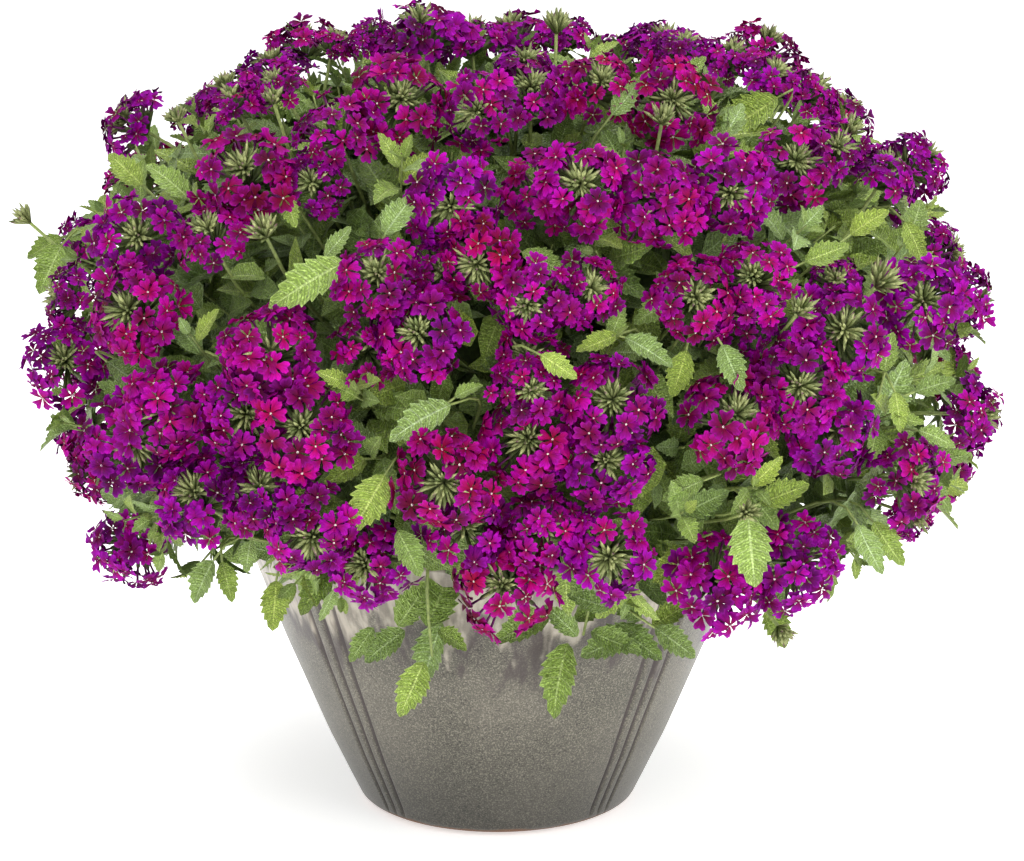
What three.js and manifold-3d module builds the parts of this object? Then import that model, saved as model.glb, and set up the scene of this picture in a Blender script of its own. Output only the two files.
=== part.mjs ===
// A purple bedding verbena in full bloom, growing in its glazed stoneware pot.
// Millimetres, +Z up. The origin is the centre of the pot's flat base, +X is to the right as one
// stands in front of the plant, and the front faces -Y.
import * as THREE from "three";
import Module from "manifold-3d";

const wasm = await Module();
wasm.setup();
const { Manifold, Mesh } = wasm;
const V = (x, y, z) => new THREE.Vector3(x, y, z);
const radians = THREE.MathUtils.degToRad;
const share = (x) => x - Math.floor(x);
const between = ([from, to], way) => from + (to - from) * way;

// Steps whose fractions spread evenly: the golden ratio's for one value, also as a turn, and the
// plastic number's for two values at once.
const GOLDEN = 0.618034;
const GOLDEN_TURN = 2.399963;
const PLASTIC = [0.7548776662, 0.569840291];

// ---- Driving dimensions ----------------------------------------------------------------------

// The pot: a thrown cone with a rounded foot, as [height, outer radius].
const POT_PROFILE = [[0, 90], [6, 94], [54, 120], [124, 150], [215, 184]];
const POT_HEIGHT = POT_PROFILE.at(-1)[0];
const POT_WALL = 9;
const POT_FLOOR = 12;
const GROOVE_DEPTH = 2.2;
const GROOVE_AZIMUTHS = [-135, -45, 45, 135];
// Across one group of ribs: degrees from its middle, and 1 where the clay is pressed in.
const GROOVE_STEPS = [[-6.5, 0], [-4.6, 1], [-2.3, 0], [0, 1], [2.3, 0], [4.6, 1], [6.5, 0]];
const GROOVES_WIDE = 2 * GROOVE_STEPS.at(-1)[0];
const PLAIN_COLUMNS = 3;
const PLAIN_STEP = (90 - GROOVES_WIDE) / (PLAIN_COLUMNS + 1);

// The soil fills the pot to a low crown.
const FIT_GAP = 0.35;
const SOIL_EDGE_HEIGHT = 188;
const SOIL_CROWN = [70, 196];
const SOIL_COLUMNS = 16;
const HOLE_DEPTH = 26;

// The mound that the flower heads make: a blown-up ellipsoid round the point CENTRE.
const MOUND_CENTRE = V(12, 0, 300);
const MOUND_REACH = [315, 285];
const MOUND_ABOVE = 246;
const MOUND_BELOW = 140;
const MOUND_POWER = 2.5;

// Heads, buds and leaves are laid out as they are seen from EYE, as distances across and up
// from AIM on the upright plane that faces it.
const AIM = V(10.5, 0, 265);
const EYE_DISTANCE = 2000;
const EYE_RISE = radians(12.5);
// A line of sight is searched in steps from before the plane to behind it: [from, to, step].
const SIGHT_SEARCH = [-420, 220, 2];
const LEAST_FACING = 0.02;

// The bush is dense inside: each of its main stems carries a wedge of foliage as its core, which
// leaves and flower stalks stand out of. The stems stand in a ring.
const WEDGES = 12;
const FIRST_WEDGE = -180;
const WEDGE_GAP = 0.6;
const CORE_SHARES = [0.80, 0.88];
const CORE_LEVELS = [226, 292, 358, 424, 490];
const CORE_LUMPS = 0.07;
const CORE_TUFT = 66;
const CORE_INSIDE = 7;
const CORE_LEAST_DEPTH = 8;
const STEM_FOOT_RADIUS = 62;
const STEM_RADIUS = 3.8;
const STEM_INTO_CORE = 10;

// Stalks of flowers and leaves are rooted this far out in the core, clear of its edges.
const ROOT_DEPTH = 0.9;
const ROOT_CLEAR = 6;
const LEAST_ROOT = 24;
const ROOT_STEP = 0.02;
const MOST_SQUEEZE = 0.25;
// A stalk that can't go straight in goes in higher or lower, or turned about the middle.
const ROOT_LIFTS = [0, 25, -25, 50, -50];
const ROOT_TURNS = [0, 0.1, -0.1, 0.2, -0.2];
const TURN_REACH = 200;
const OWN_CROSSING = 0.05;
const BRANCH_RADIUS = 1.7;
const BRANCH_ROOM = 0.4;

// A head is a dome of florets round a green bud centre: heights and radii as shares of its radius.
const DOME_HEIGHT = 0.78;
const CORNER_LEVEL = 0.82;
const FLORET_LEVEL = 0.9;
const RING_POLARS = [24, 52, 81, 114];
const STEM_ENTRY = { open: -0.42, closed: -0.9 };
const BUD_RISE = { open: 0.24, closed: 0.54 };

// Heads seen from the front: [across, up, radius, colour, turned across, turned up, set back].
// Colours: P deep purple, M bright magenta purple, R crimson purple.
const FRONT_HEADS = [
  [-54, 275, 30, "P", 0, 0.85, 0], [-66, 240, 32, "R", 0.09, 0.2, 0],
  [-31, 219, 27, "M", -0.47, 0.1, 0], [-112, 216, 29, "M", -0.1, 0.7, 0],
  [-108, 272, 17, "P", -0.2, 0.9, 0], [-133, 268, 16, "M", 0.1, 0.9, 0],
  [-152, 242, 20, "M", -0.5, 0.75, 0], [-203, 223, 19, "M", -0.5, 0.7, 0],
  [-262, 212, 26, "P", -0.85, 0.4, 0], [-187, 184, 34, "R", -0.04, 0.3, 0],
  [-260, 140, 31, "P", -0.04, 0.18, 0], [-213, 126, 27, "M", -0.2, 0.5, 0],
  [-262, 76, 32, "R", -0.3, 0.2, 0], [-308, 98, 22, "P", -0.9, 0.1, 0],
  [-313, 39, 29, "P", 0.07, 0.24, 0], [-159, 60, 34, "M", 0, 0.25, 0],
  [-96, 111, 29, "M", -0.2, 0.4, 0], [-131, 172, 23, "P", 0, 0.3, 25],
  [-35, 163, 31, "P", 0.04, -0.13, 0], [-57, 109, 22, "M", 0.2, 0.2, 22],
  [-20, 116, 29, "R", -0.31, -0.24, 0], [-52, 62, 32, "M", -0.13, -0.07, 0],
  [-101, 51, 25, "R", 0, 0.2, 25], [7, 256, 21, "P", 0.2, 0.85, 0], [6, 230, 27, "M", 0, 0.5, 0],
  [55, 235, 28, "R", 0.1, 0.5, 0], [98, 270, 20, "P", 0.1, 0.9, 0],
  [142, 261, 21, "P", 0.3, 0.85, 0], [177, 245, 22, "P", 0.5, 0.8, 0],
  [119, 223, 31, "R", 0.07, 0.16, 0], [223, 230, 19, "M", 0.6, 0.7, 0],
  [156, 168, 31, "M", 0.07, -0.1, 0], [191, 186, 29, "M", 0.2, 0.5, 20],
  [221, 196, 22, "P", 0.4, 0.6, 10], [263, 174, 25, "P", 0.6, 0.7, 0],
  [104, 161, 32, "M", 0.17, 0.11, 0], [49, 168, 31, "M", -0.09, 0.27, 0],
  [11, 167, 27, "M", 0, 0.35, 12], [175, 111, 29, "M", 0, 0.2, 0], [118, 89, 29, "R", 0, 0.3, 0],
  [226, 109, 18, "P", 0, 0.3, 22], [287, 90, 31, "P", 0.1, -0.1, 0], [170, 76, 24, "P", 0, 0.1, 30],
  [20, 88, 29, "M", -0.29, -0.4, 0], [65, 93, 25, "M", 0.1, 0.3, 0],
  [230, 69, 31, "P", 0.1, 0.1, 0], [6, 56, 24, "R", 0, 0, 28], [7, 27, 26, "M", 0, 0.1, 0],
  [-236, 14, 33, "M", 0.06, -0.04, 0], [-187, 14, 31, "P", 0.2, 0.04, 12],
  [-140, 4, 34, "R", -0.04, 0.2, 0], [-271, -12, 32, "P", 0.1, -0.07, 10],
  [-220, -42, 33, "P", -0.25, 0.25, 0], [-183, -42, 27, "P", 0, 0.5, 10],
  [-136, -70, 32, "M", -0.07, -0.4, 0], [-91, -94, 31, "P", -0.27, 0.1, 0],
  [-267, -82, 29, "P", -0.7, -0.45, 0], [-57, -24, 35, "R", -0.04, -0.06, 0],
  [-43, -66, 29, "P", 0, 0.24, 20], [-5, -103, 35, "R", 0, 0.06, 0],
  [9, -8, 34, "R", -0.2, -0.16, 10], [76, 18, 32, "M", 0.1, 0, 0], [69, -26, 31, "P", 0, -0.04, 10],
  [147, 0, 35, "R", 0.06, 0.2, 0], [195, 25, 31, "M", -0.07, -0.11, 0],
  [225, -10, 31, "P", 0, -0.11, 8], [274, -31, 29, "M", 0.5, 0, 0],
  [279, -62, 18, "M", 0.5, -0.3, 0], [319, 11, 26, "P", 0.9, 0, 0],
  [17, -76, 27, "M", 0.1, 0.1, 22], [73, -87, 31, "P", -0.04, -0.16, 0],
  [137, -108, 34, "M", 0.08, 0.1, 0], [204, -92, 31, "P", 0.1, 0, 0],
];

// Heads round the back: azimuths in half turns, and rises in radians.
const BACK_HEADS = 30;
const BACK_HEAD_RADII = [23, 31];
const BACK_COLOURS = "PMRPM";
const BACK_TRIES = 500;
const BACK_TURNS = [-0.03, 1.03];
const BACK_RISES = [-0.27, 0.95];
// Heads up to this radius have three florets to a ring, and the others four.
const SMALL_HEAD = 29.5;

// Heads push each other off by a share of what they lack, and are drawn home a little.
const FRONT_SIDE = 60;
const SETTLE_ROUNDS = 60;
const SETTLE_CLEAR = 0.98;
const SETTLE_PUSH = 0.25;
const SETTLE_HOME = 0.02;
const DEPTH_PUSH = 0.8;

// Bunches of neighbours whose petals meet, by the volume that two of them share.
const FRONT_BUNCHES = { count: 23, most: 5 };
const BACK_BUNCHES = { count: 22, most: 3 };
const LEAST_JOIN = 6;
const MOST_JOIN = 40;
const JOIN_STEP = 0.5;
const PART_ROUNDS = 120;
const PART_STEP = 0.5;
const PART_CLEAR = 1.025;

// Green bud heads that haven't opened yet: [across, up, radius].
const BUD_STANDS_OUT = 12;
const BUD_LOOKS_UP = 0.6;
const BUD_HEADS = [
  [-334, 142, 9], [-165, 223, 8], [31, 275, 11], [104, 210, 9], [233, 203, 9], [-171, 133, 12],
  [254, 100, 14], [198, 79, 10], [161, -59, 9], [184, -133, 9], [-231, 210, 7],
];

// Shoots that trail over the rim, by the place where they end, with the leaves on them.
const TRAILING_SHOOTS = [[-56, -158], [50, -143]];
const SHOOT_OVER_RIM = [224, 240];
const SHOOT_SAG = 6;
const SHOOT_ROOT = 0.8;

// Leaves: [across and up of the base, across and up of the tip].
const TRAILING_LEAVES = [
  [-49, -134, -66, -180], [-62, -162, -78, -200], [-75, -140, -105, -160], [39, -149, 23, -198],
  [55, -141, 90, -155], [44, -133, 68, -118], [72, -136, 104, -160],
];
const LEAVES = [
  [-259, 172, -283, 195], [-227, 163, -252, 189], [-117, 118, -173, 89], [-131, 121, -113, 142],
  [-160, 165, -150, 143], [-89, 137, -71, 167], [7, 125, 42, 111], [51, 242, 80, 210],
  [50, 168, 74, 151], [120, 247, 135, 262], [186, 233, 144, 203], [237, 137, 261, 156],
  [275, 146, 291, 118], [205, 118, 237, 131], [114, 93, 85, 76], [20, 53, 46, 37],
  [74, 67, 46, 55], [79, 65, 114, 48], [122, 56, 113, 23], [147, 60, 161, 28],
  [261, 41, 263, 69], [268, 27, 273, 0], [282, 27, 310, 37], [284, 0, 312, -7],
  [289, -24, 319, -15], [289, -35, 310, -54], [134, -35, 104, -46], [174, -51, 207, -37],
  [165, -59, 170, -110], [242, -66, 256, -100], [253, -64, 271, -96], [-43, 18, -89, -2],
  [-40, 23, -22, 34], [-89, -31, -111, -71], [-169, -59, -208, -70], [-183, -77, -187, -99],
  [-209, -91, -225, -120], [-203, -92, -195, -119], [-165, -105, -167, -140],
  [100, -138, 130, -158], [181, -121, 189, -152], [-315, 135, -340, 122],
  [-315, 130, -330, 97], [-312, 136, -291, 136], [-203, 51, -182, 42], [-283, 48, -253, 27],
  [70, 221, 90, 242],
];
// Where another piece is in its way, a leaf stands further back or forward.
const LEAF_SETBACKS = [6, -6, 18, -16, 30, -26, 42];
const LEAF_OUT = [-0.1, 0.25];
const LEAF_UP = 0.5;
const LEAF_LEAN = [-0.3, 0.3];

// Leaves all round the bush, by the same kind of rule as the heads round the back.
const BUSH_LEAVES = 6;
const BUSH_TRIES = 400;
const BUSH_RISES = [-0.45, 1.05];
const BUSH_LEAF_LENGTHS = [41, 60];
const BUSH_LEAF_BASE = 0.8;
const BUSH_LEAF_TURN = [-0.7, 0.7];
const BUSH_LEAF_LIFT = 0.3;
const BUSH_LEAF_TILT = 0.4;

// Tips of leafy shoots all round, each a spindle of young leaves.
const SHOOT_TIPS = 26;
const TIP_TRIES = 700;
const TIP_RISES = [-0.4, 1.5];
const TIP_LEVEL = 0.965;
const TIP_SIDES = 3;
const TIP_FOOT_RADIUS = 4;
const TIP_WIDEST = { way: 0.6, radius: 23 };

const LONG_LEAF = 46;
const LEAF_WIDTH = 0.5;
const LEAF_THICKNESS = 1.5;
const LEAF_FOLD = 0.3;
const LEAF_DROOP = 0.14;
const LEAF_ROOM = 0.3;
const RIB_AT = 0.42;
const STALK_RADIUS = 0.9;
// Tips and notches of the teeth down one side: [share of the length, share of the half width].
const LONG_EDGE = [[0.2, 0.95], [0.32, 0.78], [0.47, 0.98], [0.57, 0.7], [0.74, 0.66]];
const SHORT_EDGE = [[0.28, 0.98], [0.45, 0.74], [0.66, 0.76]];
const FUSE_TOLERANCE = 0.02;

const DEEP_PURPLE = new THREE.MeshStandardMaterial({ color: 0x6a0078, roughness: 0.6 });
const MAGENTA = new THREE.MeshStandardMaterial({ color: 0xa8009c, roughness: 0.6 });
const CRIMSON = new THREE.MeshStandardMaterial({ color: 0xa80064, roughness: 0.6 });
const GREEN = new THREE.MeshStandardMaterial({ color: 0x6f8a35, roughness: 0.7 });
const GLAZE = new THREE.MeshStandardMaterial({ color: 0x86817a, roughness: 0.35 });
const EARTH = new THREE.MeshStandardMaterial({ color: 0x2e221a, roughness: 1 });
const PETAL_MATERIALS = { P: DEEP_PURPLE, M: MAGENTA, R: CRIMSON };

// ---- Solids ----------------------------------------------------------------------------------

// A closed solid from its corners and triangles, turned so that its faces point out.
function solid(corners, faces) {
  const make = (list) =>
    new Manifold(
      new Mesh({
        numProp: 3,
        vertProperties: new Float32Array(corners.flatMap((p) => [p.x, p.y, p.z])),
        triVerts: new Uint32Array(list.flat()),
      }),
    );
  const made = make(faces);
  return made.volume() < 0 ? make(faces.map(([a, b, c]) => [a, c, b])) : made;
}

// Rings of equally many points, each joined to the next, with both ends closed. A ring of one
// point is an apex.
function ringStack(rings) {
  const corners = rings.flat();
  const faces = [];
  let start = 0;
  for (let r = 0; r + 1 < rings.length; r++) {
    const n = Math.max(rings[r].length, rings[r + 1].length);
    const next = start + rings[r].length;
    const at = (ring, first, i) => first + (rings[ring].length === 1 ? 0 : i % n);
    for (let i = 0; i < n; i++) {
      const [a, b] = [at(r, start, i), at(r, start, i + 1)];
      const [c, d] = [at(r + 1, next, i), at(r + 1, next, i + 1)];
      if (a !== b) faces.push([a, b, d]);
      if (c !== d) faces.push([a, d, c]);
    }
    start = next;
  }
  const foot = rings[0].length;
  for (let i = 1; i + 1 < foot; i++) faces.push([0, i + 1, i]);
  for (let i = 1; i + 1 < rings.at(-1).length; i++) faces.push([start, start + i, start + i + 1]);
  return solid(corners, faces);
}

// A level ring of points at the given azimuths.
const levelRing = (azimuths, radiusAt, z) =>
  azimuths.map((a, i) => V(radiusAt(i) * Math.cos(a), radiusAt(i) * Math.sin(a), z));

// Two directions square to an axis, turned about it by a spin.
function frameOf(axis, spin) {
  const helper = Math.abs(axis.z) < 0.9 ? V(0, 0, 1) : V(1, 0, 0);
  const first = helper.cross(axis).normalize().applyAxisAngle(axis, spin);
  return { axis, first, second: axis.clone().cross(first) };
}

// A tube of few sides along points, with a radius at each. Its sides line up with lastFirst at
// its last point.
function tubeRings(points, radii, sides, lastFirst) {
  return points.map((p, i) => {
    const ahead = points[Math.min(i + 1, points.length - 1)];
    const along = ahead.clone().sub(points[Math.max(i - 1, 0)]).normalize();
    const first = lastFirst.clone().addScaledVector(along, -lastFirst.dot(along)).normalize();
    const second = along.clone().cross(first);
    return Array.from({ length: sides }, (_, s) => {
      const turn = (s * 2 * Math.PI) / sides;
      return p
        .clone()
        .addScaledVector(first, radii[i] * Math.cos(turn))
        .addScaledVector(second, radii[i] * Math.sin(turn));
    });
  });
}

// ---- Pot and soil ----------------------------------------------------------------------------

function radiusOn(profile, height) {
  const i = Math.max(1, profile.findIndex(([z]) => z >= height));
  const [[z0, r0], [z1, r1]] = [profile[i - 1], profile[i]];
  return between([r0, r1], (height - z0) / (z1 - z0));
}

function makePot() {
  const columns = GROOVE_AZIMUTHS.flatMap((middle) => {
    const ribs = GROOVE_STEPS.map(([offset, pressed]) => [middle + offset, pressed]);
    const from = middle + GROOVES_WIDE / 2;
    const plain = Array.from({ length: PLAIN_COLUMNS }, (_, i) => [from + PLAIN_STEP * (i + 1), 0]);
    return [...ribs, ...plain];
  });
  const azimuths = columns.map(([degrees]) => radians(degrees));
  const outer = POT_PROFILE.map(([z, r], row) => {
    const depth = row === 0 || z === POT_HEIGHT ? 0 : GROOVE_DEPTH;
    return levelRing(azimuths, (i) => r - depth * columns[i][1], z);
  });
  const inner = [POT_HEIGHT, POT_FLOOR].map((z) =>
    levelRing(azimuths, () => radiusOn(POT_PROFILE, z) - POT_WALL, z),
  );
  return ringStack([...outer, ...inner]);
}

// The inside of the pot's wall is straight from the floor to the rim.
function innerRadius(height) {
  const [atFloor, atRim] = [POT_FLOOR, POT_HEIGHT].map((z) => radiusOn(POT_PROFILE, z) - POT_WALL);
  return between([atFloor, atRim], (height - POT_FLOOR) / (POT_HEIGHT - POT_FLOOR));
}

// What the flats between the columns take off the radius.
const POT_FLATS = Math.cos(radians(PLAIN_STEP / 2));

function soilHeight(radius) {
  const way = (radius - SOIL_CROWN[0]) / (innerRadius(SOIL_EDGE_HEIGHT) - SOIL_CROWN[0]);
  return between([SOIL_CROWN[1], SOIL_EDGE_HEIGHT], THREE.MathUtils.clamp(way, 0, 1));
}

function makeSoil(stems) {
  const azimuths = Array.from({ length: SOIL_COLUMNS }, (_, i) => (i * 2 * Math.PI) / SOIL_COLUMNS);
  const bottom = POT_FLOOR + FIT_GAP;
  const ring = (r, z) => levelRing(azimuths, () => r, z);
  const block = ringStack([
    ring(innerRadius(bottom) * POT_FLATS - FIT_GAP, bottom),
    ring(innerRadius(SOIL_EDGE_HEIGHT) * POT_FLATS - FIT_GAP, SOIL_EDGE_HEIGHT),
    ring(SOIL_CROWN[0], SOIL_CROWN[1]),
  ]);
  const holes = stems.map(({ foot }) => {
    const side = STEM_RADIUS + FIT_GAP * Math.SQRT2;
    const corners = (z) => [0, 1, 2, 3].map((i) => foot.clone().setZ(z).add(squareCorner(i, side)));
    return ringStack([corners(foot.z - FIT_GAP), corners(CORE_LEVELS[0])]);
  });
  return block.subtract(Manifold.union(holes));
}

const squareCorner = (i, radius) =>
  V(radius * Math.cos((i * Math.PI) / 2), radius * Math.sin((i * Math.PI) / 2), 0);

// ---- Where things stand ----------------------------------------------------------------------

const TO_EYE = V(0, -Math.cos(EYE_RISE), Math.sin(EYE_RISE));
const SIGHT_UP = V(0, Math.sin(EYE_RISE), Math.cos(EYE_RISE));
const EYE = AIM.clone().addScaledVector(TO_EYE, EYE_DISTANCE);

// How far out of the mound a point lies: 1 on its surface.
function moundLevel(p) {
  const rise = p.z - MOUND_CENTRE.z;
  const sum =
    Math.pow(Math.abs(p.x - MOUND_CENTRE.x) / MOUND_REACH[0], MOUND_POWER) +
    Math.pow(Math.abs(p.y - MOUND_CENTRE.y) / MOUND_REACH[1], MOUND_POWER) +
    Math.pow(Math.abs(rise) / (rise > 0 ? MOUND_ABOVE : MOUND_BELOW), MOUND_POWER);
  return Math.pow(sum, 1 / MOUND_POWER);
}

function moundNormal(p) {
  const step = 0.5;
  const rise = (d) => moundLevel(p.clone().add(d)) - moundLevel(p.clone().sub(d));
  return V(rise(V(step, 0, 0)), rise(V(0, step, 0)), rise(V(0, 0, step))).normalize();
}

// The point of the mound that is seen at (across, up): the line of sight is followed to where it
// first comes nearest to the surface, then set back along it.
function seenOnMound(across, up, setBack) {
  const onPlane = AIM.clone().add(V(across, 0, 0)).addScaledVector(SIGHT_UP, up);
  const sight = onPlane.clone().sub(EYE).normalize();
  const toPlane = onPlane.distanceTo(EYE);
  const [from, to, step] = SIGHT_SEARCH;
  let best = { level: Infinity, at: 0 };
  for (let at = toPlane + from; at <= toPlane + to; at += step) {
    const level = moundLevel(EYE.clone().addScaledVector(sight, at));
    if (level < best.level) best = { level, at };
    if (level <= 1) break;
  }
  const away = best.at + setBack;
  return { point: EYE.clone().addScaledVector(sight, away), scale: away / EYE_DISTANCE };
}

function frontHeads() {
  return FRONT_HEADS.map(([across, up, radius, colour, turnAcross, turnUp, setBack]) => {
    const { point, scale } = seenOnMound(across, up, setBack);
    const facing = Math.sqrt(Math.max(LEAST_FACING, 1 - turnAcross ** 2 - turnUp ** 2));
    const axis = V(turnAcross, 0, 0).addScaledVector(SIGHT_UP, turnUp);
    axis.addScaledVector(TO_EYE, facing);
    return { point, radius: radius * scale, colour, axis: axis.normalize() };
  });
}

// The point of the mound at an azimuth and a rise from its centre, in radians, and the way out.
function outOnMound(azimuth, rise) {
  const flat = Math.cos(rise);
  const out = V(flat * Math.cos(azimuth), flat * Math.sin(azimuth), Math.sin(rise));
  const reach = 1 / moundLevel(MOUND_CENTRE.clone().add(out));
  return { out, reach, point: MOUND_CENTRE.clone().addScaledVector(out, reach) };
}

// Evenly scattered places round the back: of many tries by the plastic number's rule, each head
// takes the one that is furthest from the heads before it.
function backHeads(front) {
  const tries = Array.from({ length: BACK_TRIES }, (_, i) => {
    const azimuth = Math.PI * between(BACK_TURNS, share(0.5 + i * PLASTIC[0]));
    return outOnMound(azimuth, between(BACK_RISES, share(0.5 + i * PLASTIC[1]))).point;
  });
  const placed = front.map((head) => head.point);
  return Array.from({ length: BACK_HEADS }, (_, i) => {
    const room = (p) => Math.min(...placed.map((q) => q.distanceTo(p)));
    const point = tries.reduce((best, p) => (room(p) > room(best) + 1e-6 ? p : best));
    placed.push(point);
    const radius = between(BACK_HEAD_RADII, share(i * GOLDEN));
    const colour = BACK_COLOURS[i % BACK_COLOURS.length];
    return { point, radius, colour, axis: moundNormal(point) };
  });
}

// ---- Flower heads ----------------------------------------------------------------------------

// A dome of two rings of florets round a middle opening, in shares of its radius, +Z its axis.
// Each floret is a five-pointed dish between low corners that it shares with its neighbours.
function headShape(sides) {
  const level = (p, to) => p.clone().multiplyScalar(to / Math.hypot(p.x, p.y, p.z / DOME_HEIGHT));
  const ring = (polar, half) =>
    Array.from({ length: sides }, (_, i) => {
      const turn = ((i + half) * 2 * Math.PI) / sides;
      const [s, c] = [Math.sin(radians(polar)), Math.cos(radians(polar))];
      return level(V(s * Math.cos(turn), s * Math.sin(turn), c * DOME_HEIGHT), CORNER_LEVEL);
    });
  const [top, upper, lower, bottom] = RING_POLARS.map((polar, i) => ring(polar, i < 2 ? 0 : 0.5));
  const corners = [...top, ...upper, ...lower, ...bottom];
  const at = (ringIndex, i) => ringIndex * sides + (i % sides);
  const faces = [];
  const tips = new Map();
  const tipOver = (a, b) => {
    const key = Math.min(a, b) + "-" + Math.max(a, b);
    const edge = corners[a].clone().add(corners[b]).divideScalar(2);
    if (!tips.has(key)) tips.set(key, corners.push(level(edge, 1)) - 1);
    return tips.get(key);
  };
  const addFloret = (around) => {
    const middle = around.reduce((sum, c) => sum.add(corners[c]), V(0, 0, 0)).divideScalar(5);
    const centre = corners.push(level(middle, FLORET_LEVEL)) - 1;
    around.forEach((a, i) => {
      const b = around[(i + 1) % 5];
      const tip = tipOver(a, b);
      faces.push([centre, a, tip], [centre, tip, b]);
    });
  };
  for (let i = 0; i < sides; i++) {
    addFloret([at(0, i + 1), at(0, i), at(1, i), at(2, i), at(1, i + 1)]);
    addFloret([at(1, i + 1), at(2, i), at(3, i), at(3, i + 1), at(2, i + 1)]);
    faces.push([at(0, i), at(0, i + 1), at(3, i)], [at(0, i + 1), at(3, i + 1), at(3, i)]);
    faces.push([at(0, i + 1), at(0, i), tipOver(at(0, i), at(0, i + 1))]);
    faces.push([at(3, i), at(3, i + 1), tipOver(at(3, i), at(3, i + 1))]);
  }
  return { corners, faces };
}

const HEAD_SHAPES = { 3: headShape(3), 4: headShape(4) };
const HEAD_TOP = HEAD_SHAPES[4].corners[0];

function headSolid(head, grow = 1) {
  const { corners, faces } = HEAD_SHAPES[head.sides];
  const size = head.radius * grow;
  const placed = corners.map((c) =>
    head.point
      .clone()
      .addScaledVector(head.frame.first, size * c.x)
      .addScaledVector(head.frame.second, size * c.y)
      .addScaledVector(head.frame.axis, size * c.z),
  );
  return solid(placed, faces);
}

// The way from one head to another, turned to run mostly forwards or back in front.
function wayApart(a, b, depth) {
  const way = b.point.clone().sub(a.point).normalize();
  if (Math.min(a.point.y, b.point.y) > FRONT_SIDE) return way;
  return way.addScaledVector(TO_EYE, way.dot(TO_EYE) < 0 ? -depth : depth).normalize();
}

// Heads push each other apart until balls of most of their size are clear, and a weak pull keeps
// them near their own places.
function settle(heads) {
  const home = heads.map((head) => head.point.clone());
  for (let round = 0; round < SETTLE_ROUNDS; round++) {
    heads.forEach((a, i) => {
      heads.slice(i + 1).forEach((b) => {
        const short = SETTLE_CLEAR * (a.radius + b.radius) - a.point.distanceTo(b.point);
        if (short <= 0) return;
        const push = wayApart(a, b, DEPTH_PUSH).multiplyScalar(short * SETTLE_PUSH);
        b.point.add(push);
        a.point.sub(push);
      });
    });
    heads.forEach((head, i) => head.point.lerp(home[i], SETTLE_HOME));
  }
}

const overlap = (a, b) => {
  const common = a.intersect(b);
  const volume = common.volume();
  common.delete();
  return volume;
};
const nearPairs = (heads, within) => {
  const pairs = [];
  heads.forEach((a, i) =>
    heads.slice(i + 1).forEach((b) => {
      const distance = a.point.distanceTo(b.point) / (a.radius + b.radius);
      if (distance < within) pairs.push({ a, b, distance });
    }),
  );
  return pairs.sort((p, q) => p.distance - q.distance);
};

const inBunch = (heads, bunch) => heads.filter((head) => head.bunch === bunch);
const moveAll = (heads, way, by) => heads.forEach((head) => head.point.addScaledVector(way, by));

// Neighbours are gathered into bunches, the nearest first, and drawn together until their petals
// meet.
function gather(heads, { count, most }) {
  let bunches = heads.length;
  for (const { a, b } of nearPairs(heads, 3)) {
    if (bunches <= count) return;
    const [ours, theirs] = [inBunch(heads, a.bunch), inBunch(heads, b.bunch)];
    if (a.bunch === b.bunch || ours.length + theirs.length > most) continue;
    const way = b.point.clone().sub(a.point).normalize();
    const draw = (by) => {
      moveAll(ours, way, by);
      moveAll(theirs, way, -by);
    };
    const shared = () => overlap(headSolid(a), headSolid(b));
    const steps = (b.radius + a.radius) / JOIN_STEP;
    for (let n = 0; n < steps && shared() > MOST_JOIN; n++) draw(-JOIN_STEP);
    for (let n = 0; n < steps && shared() < LEAST_JOIN; n++) draw(JOIN_STEP);
    theirs.forEach((head) => (head.bunch = a.bunch));
    bunches--;
  }
}

// Bunches that still meet each other or the pot are pushed apart as they are.
function part(heads) {
  const meet = (a, b) => overlap(headSolid(a, PART_CLEAR), headSolid(b, PART_CLEAR)) > 0;
  const onPot = (head) =>
    head.point.z < POT_HEIGHT + head.radius && overlap(headSolid(head, PART_CLEAR), pot) > 0;
  for (let round = 0; round < PART_ROUNDS; round++) {
    const near = nearPairs(heads, PART_CLEAR + 0.01).filter(({ a, b }) => a.bunch !== b.bunch);
    const clashes = near.filter(({ a, b }) => meet(a, b));
    const low = heads.filter(onPot);
    if (!clashes.length && !low.length) return;
    for (const { bunch, point } of low) {
      moveAll(inBunch(heads, bunch), V(point.x, point.y, 0).normalize(), 2 * PART_STEP);
    }
    for (const { a, b } of clashes) {
      const way = wayApart(a, b, DEPTH_PUSH);
      moveAll(inBunch(heads, b.bunch), way, PART_STEP);
      moveAll(inBunch(heads, a.bunch), way, -PART_STEP);
    }
  }
}

const pot = makePot();
const front = frontHeads();
const back = backHeads(front);
const heads = [...front, ...back];
heads.forEach((head, i) => {
  head.open = true;
  head.sides = i < front.length && FRONT_HEADS[i][2] > SMALL_HEAD ? 4 : 3;
  head.frame = frameOf(head.axis, i * GOLDEN_TURN);
  head.bunch = i;
});
settle(heads);
gather(front, FRONT_BUNCHES);
gather(back, BACK_BUNCHES);
part(heads);
const bunches = [...new Set(heads.map((head) => head.bunch))].map((id) => {
  const members = inBunch(heads, id);
  return { members, body: fused(members.map((head) => headSolid(head))) };
});

// ---- Stems, buds and leaves ------------------------------------------------------------------

// The core is fuller at the back, where fewer heads stand over it.
const coreShare = (azimuth) => between(CORE_SHARES, (1 + Math.sin(azimuth)) / 2);

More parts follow.
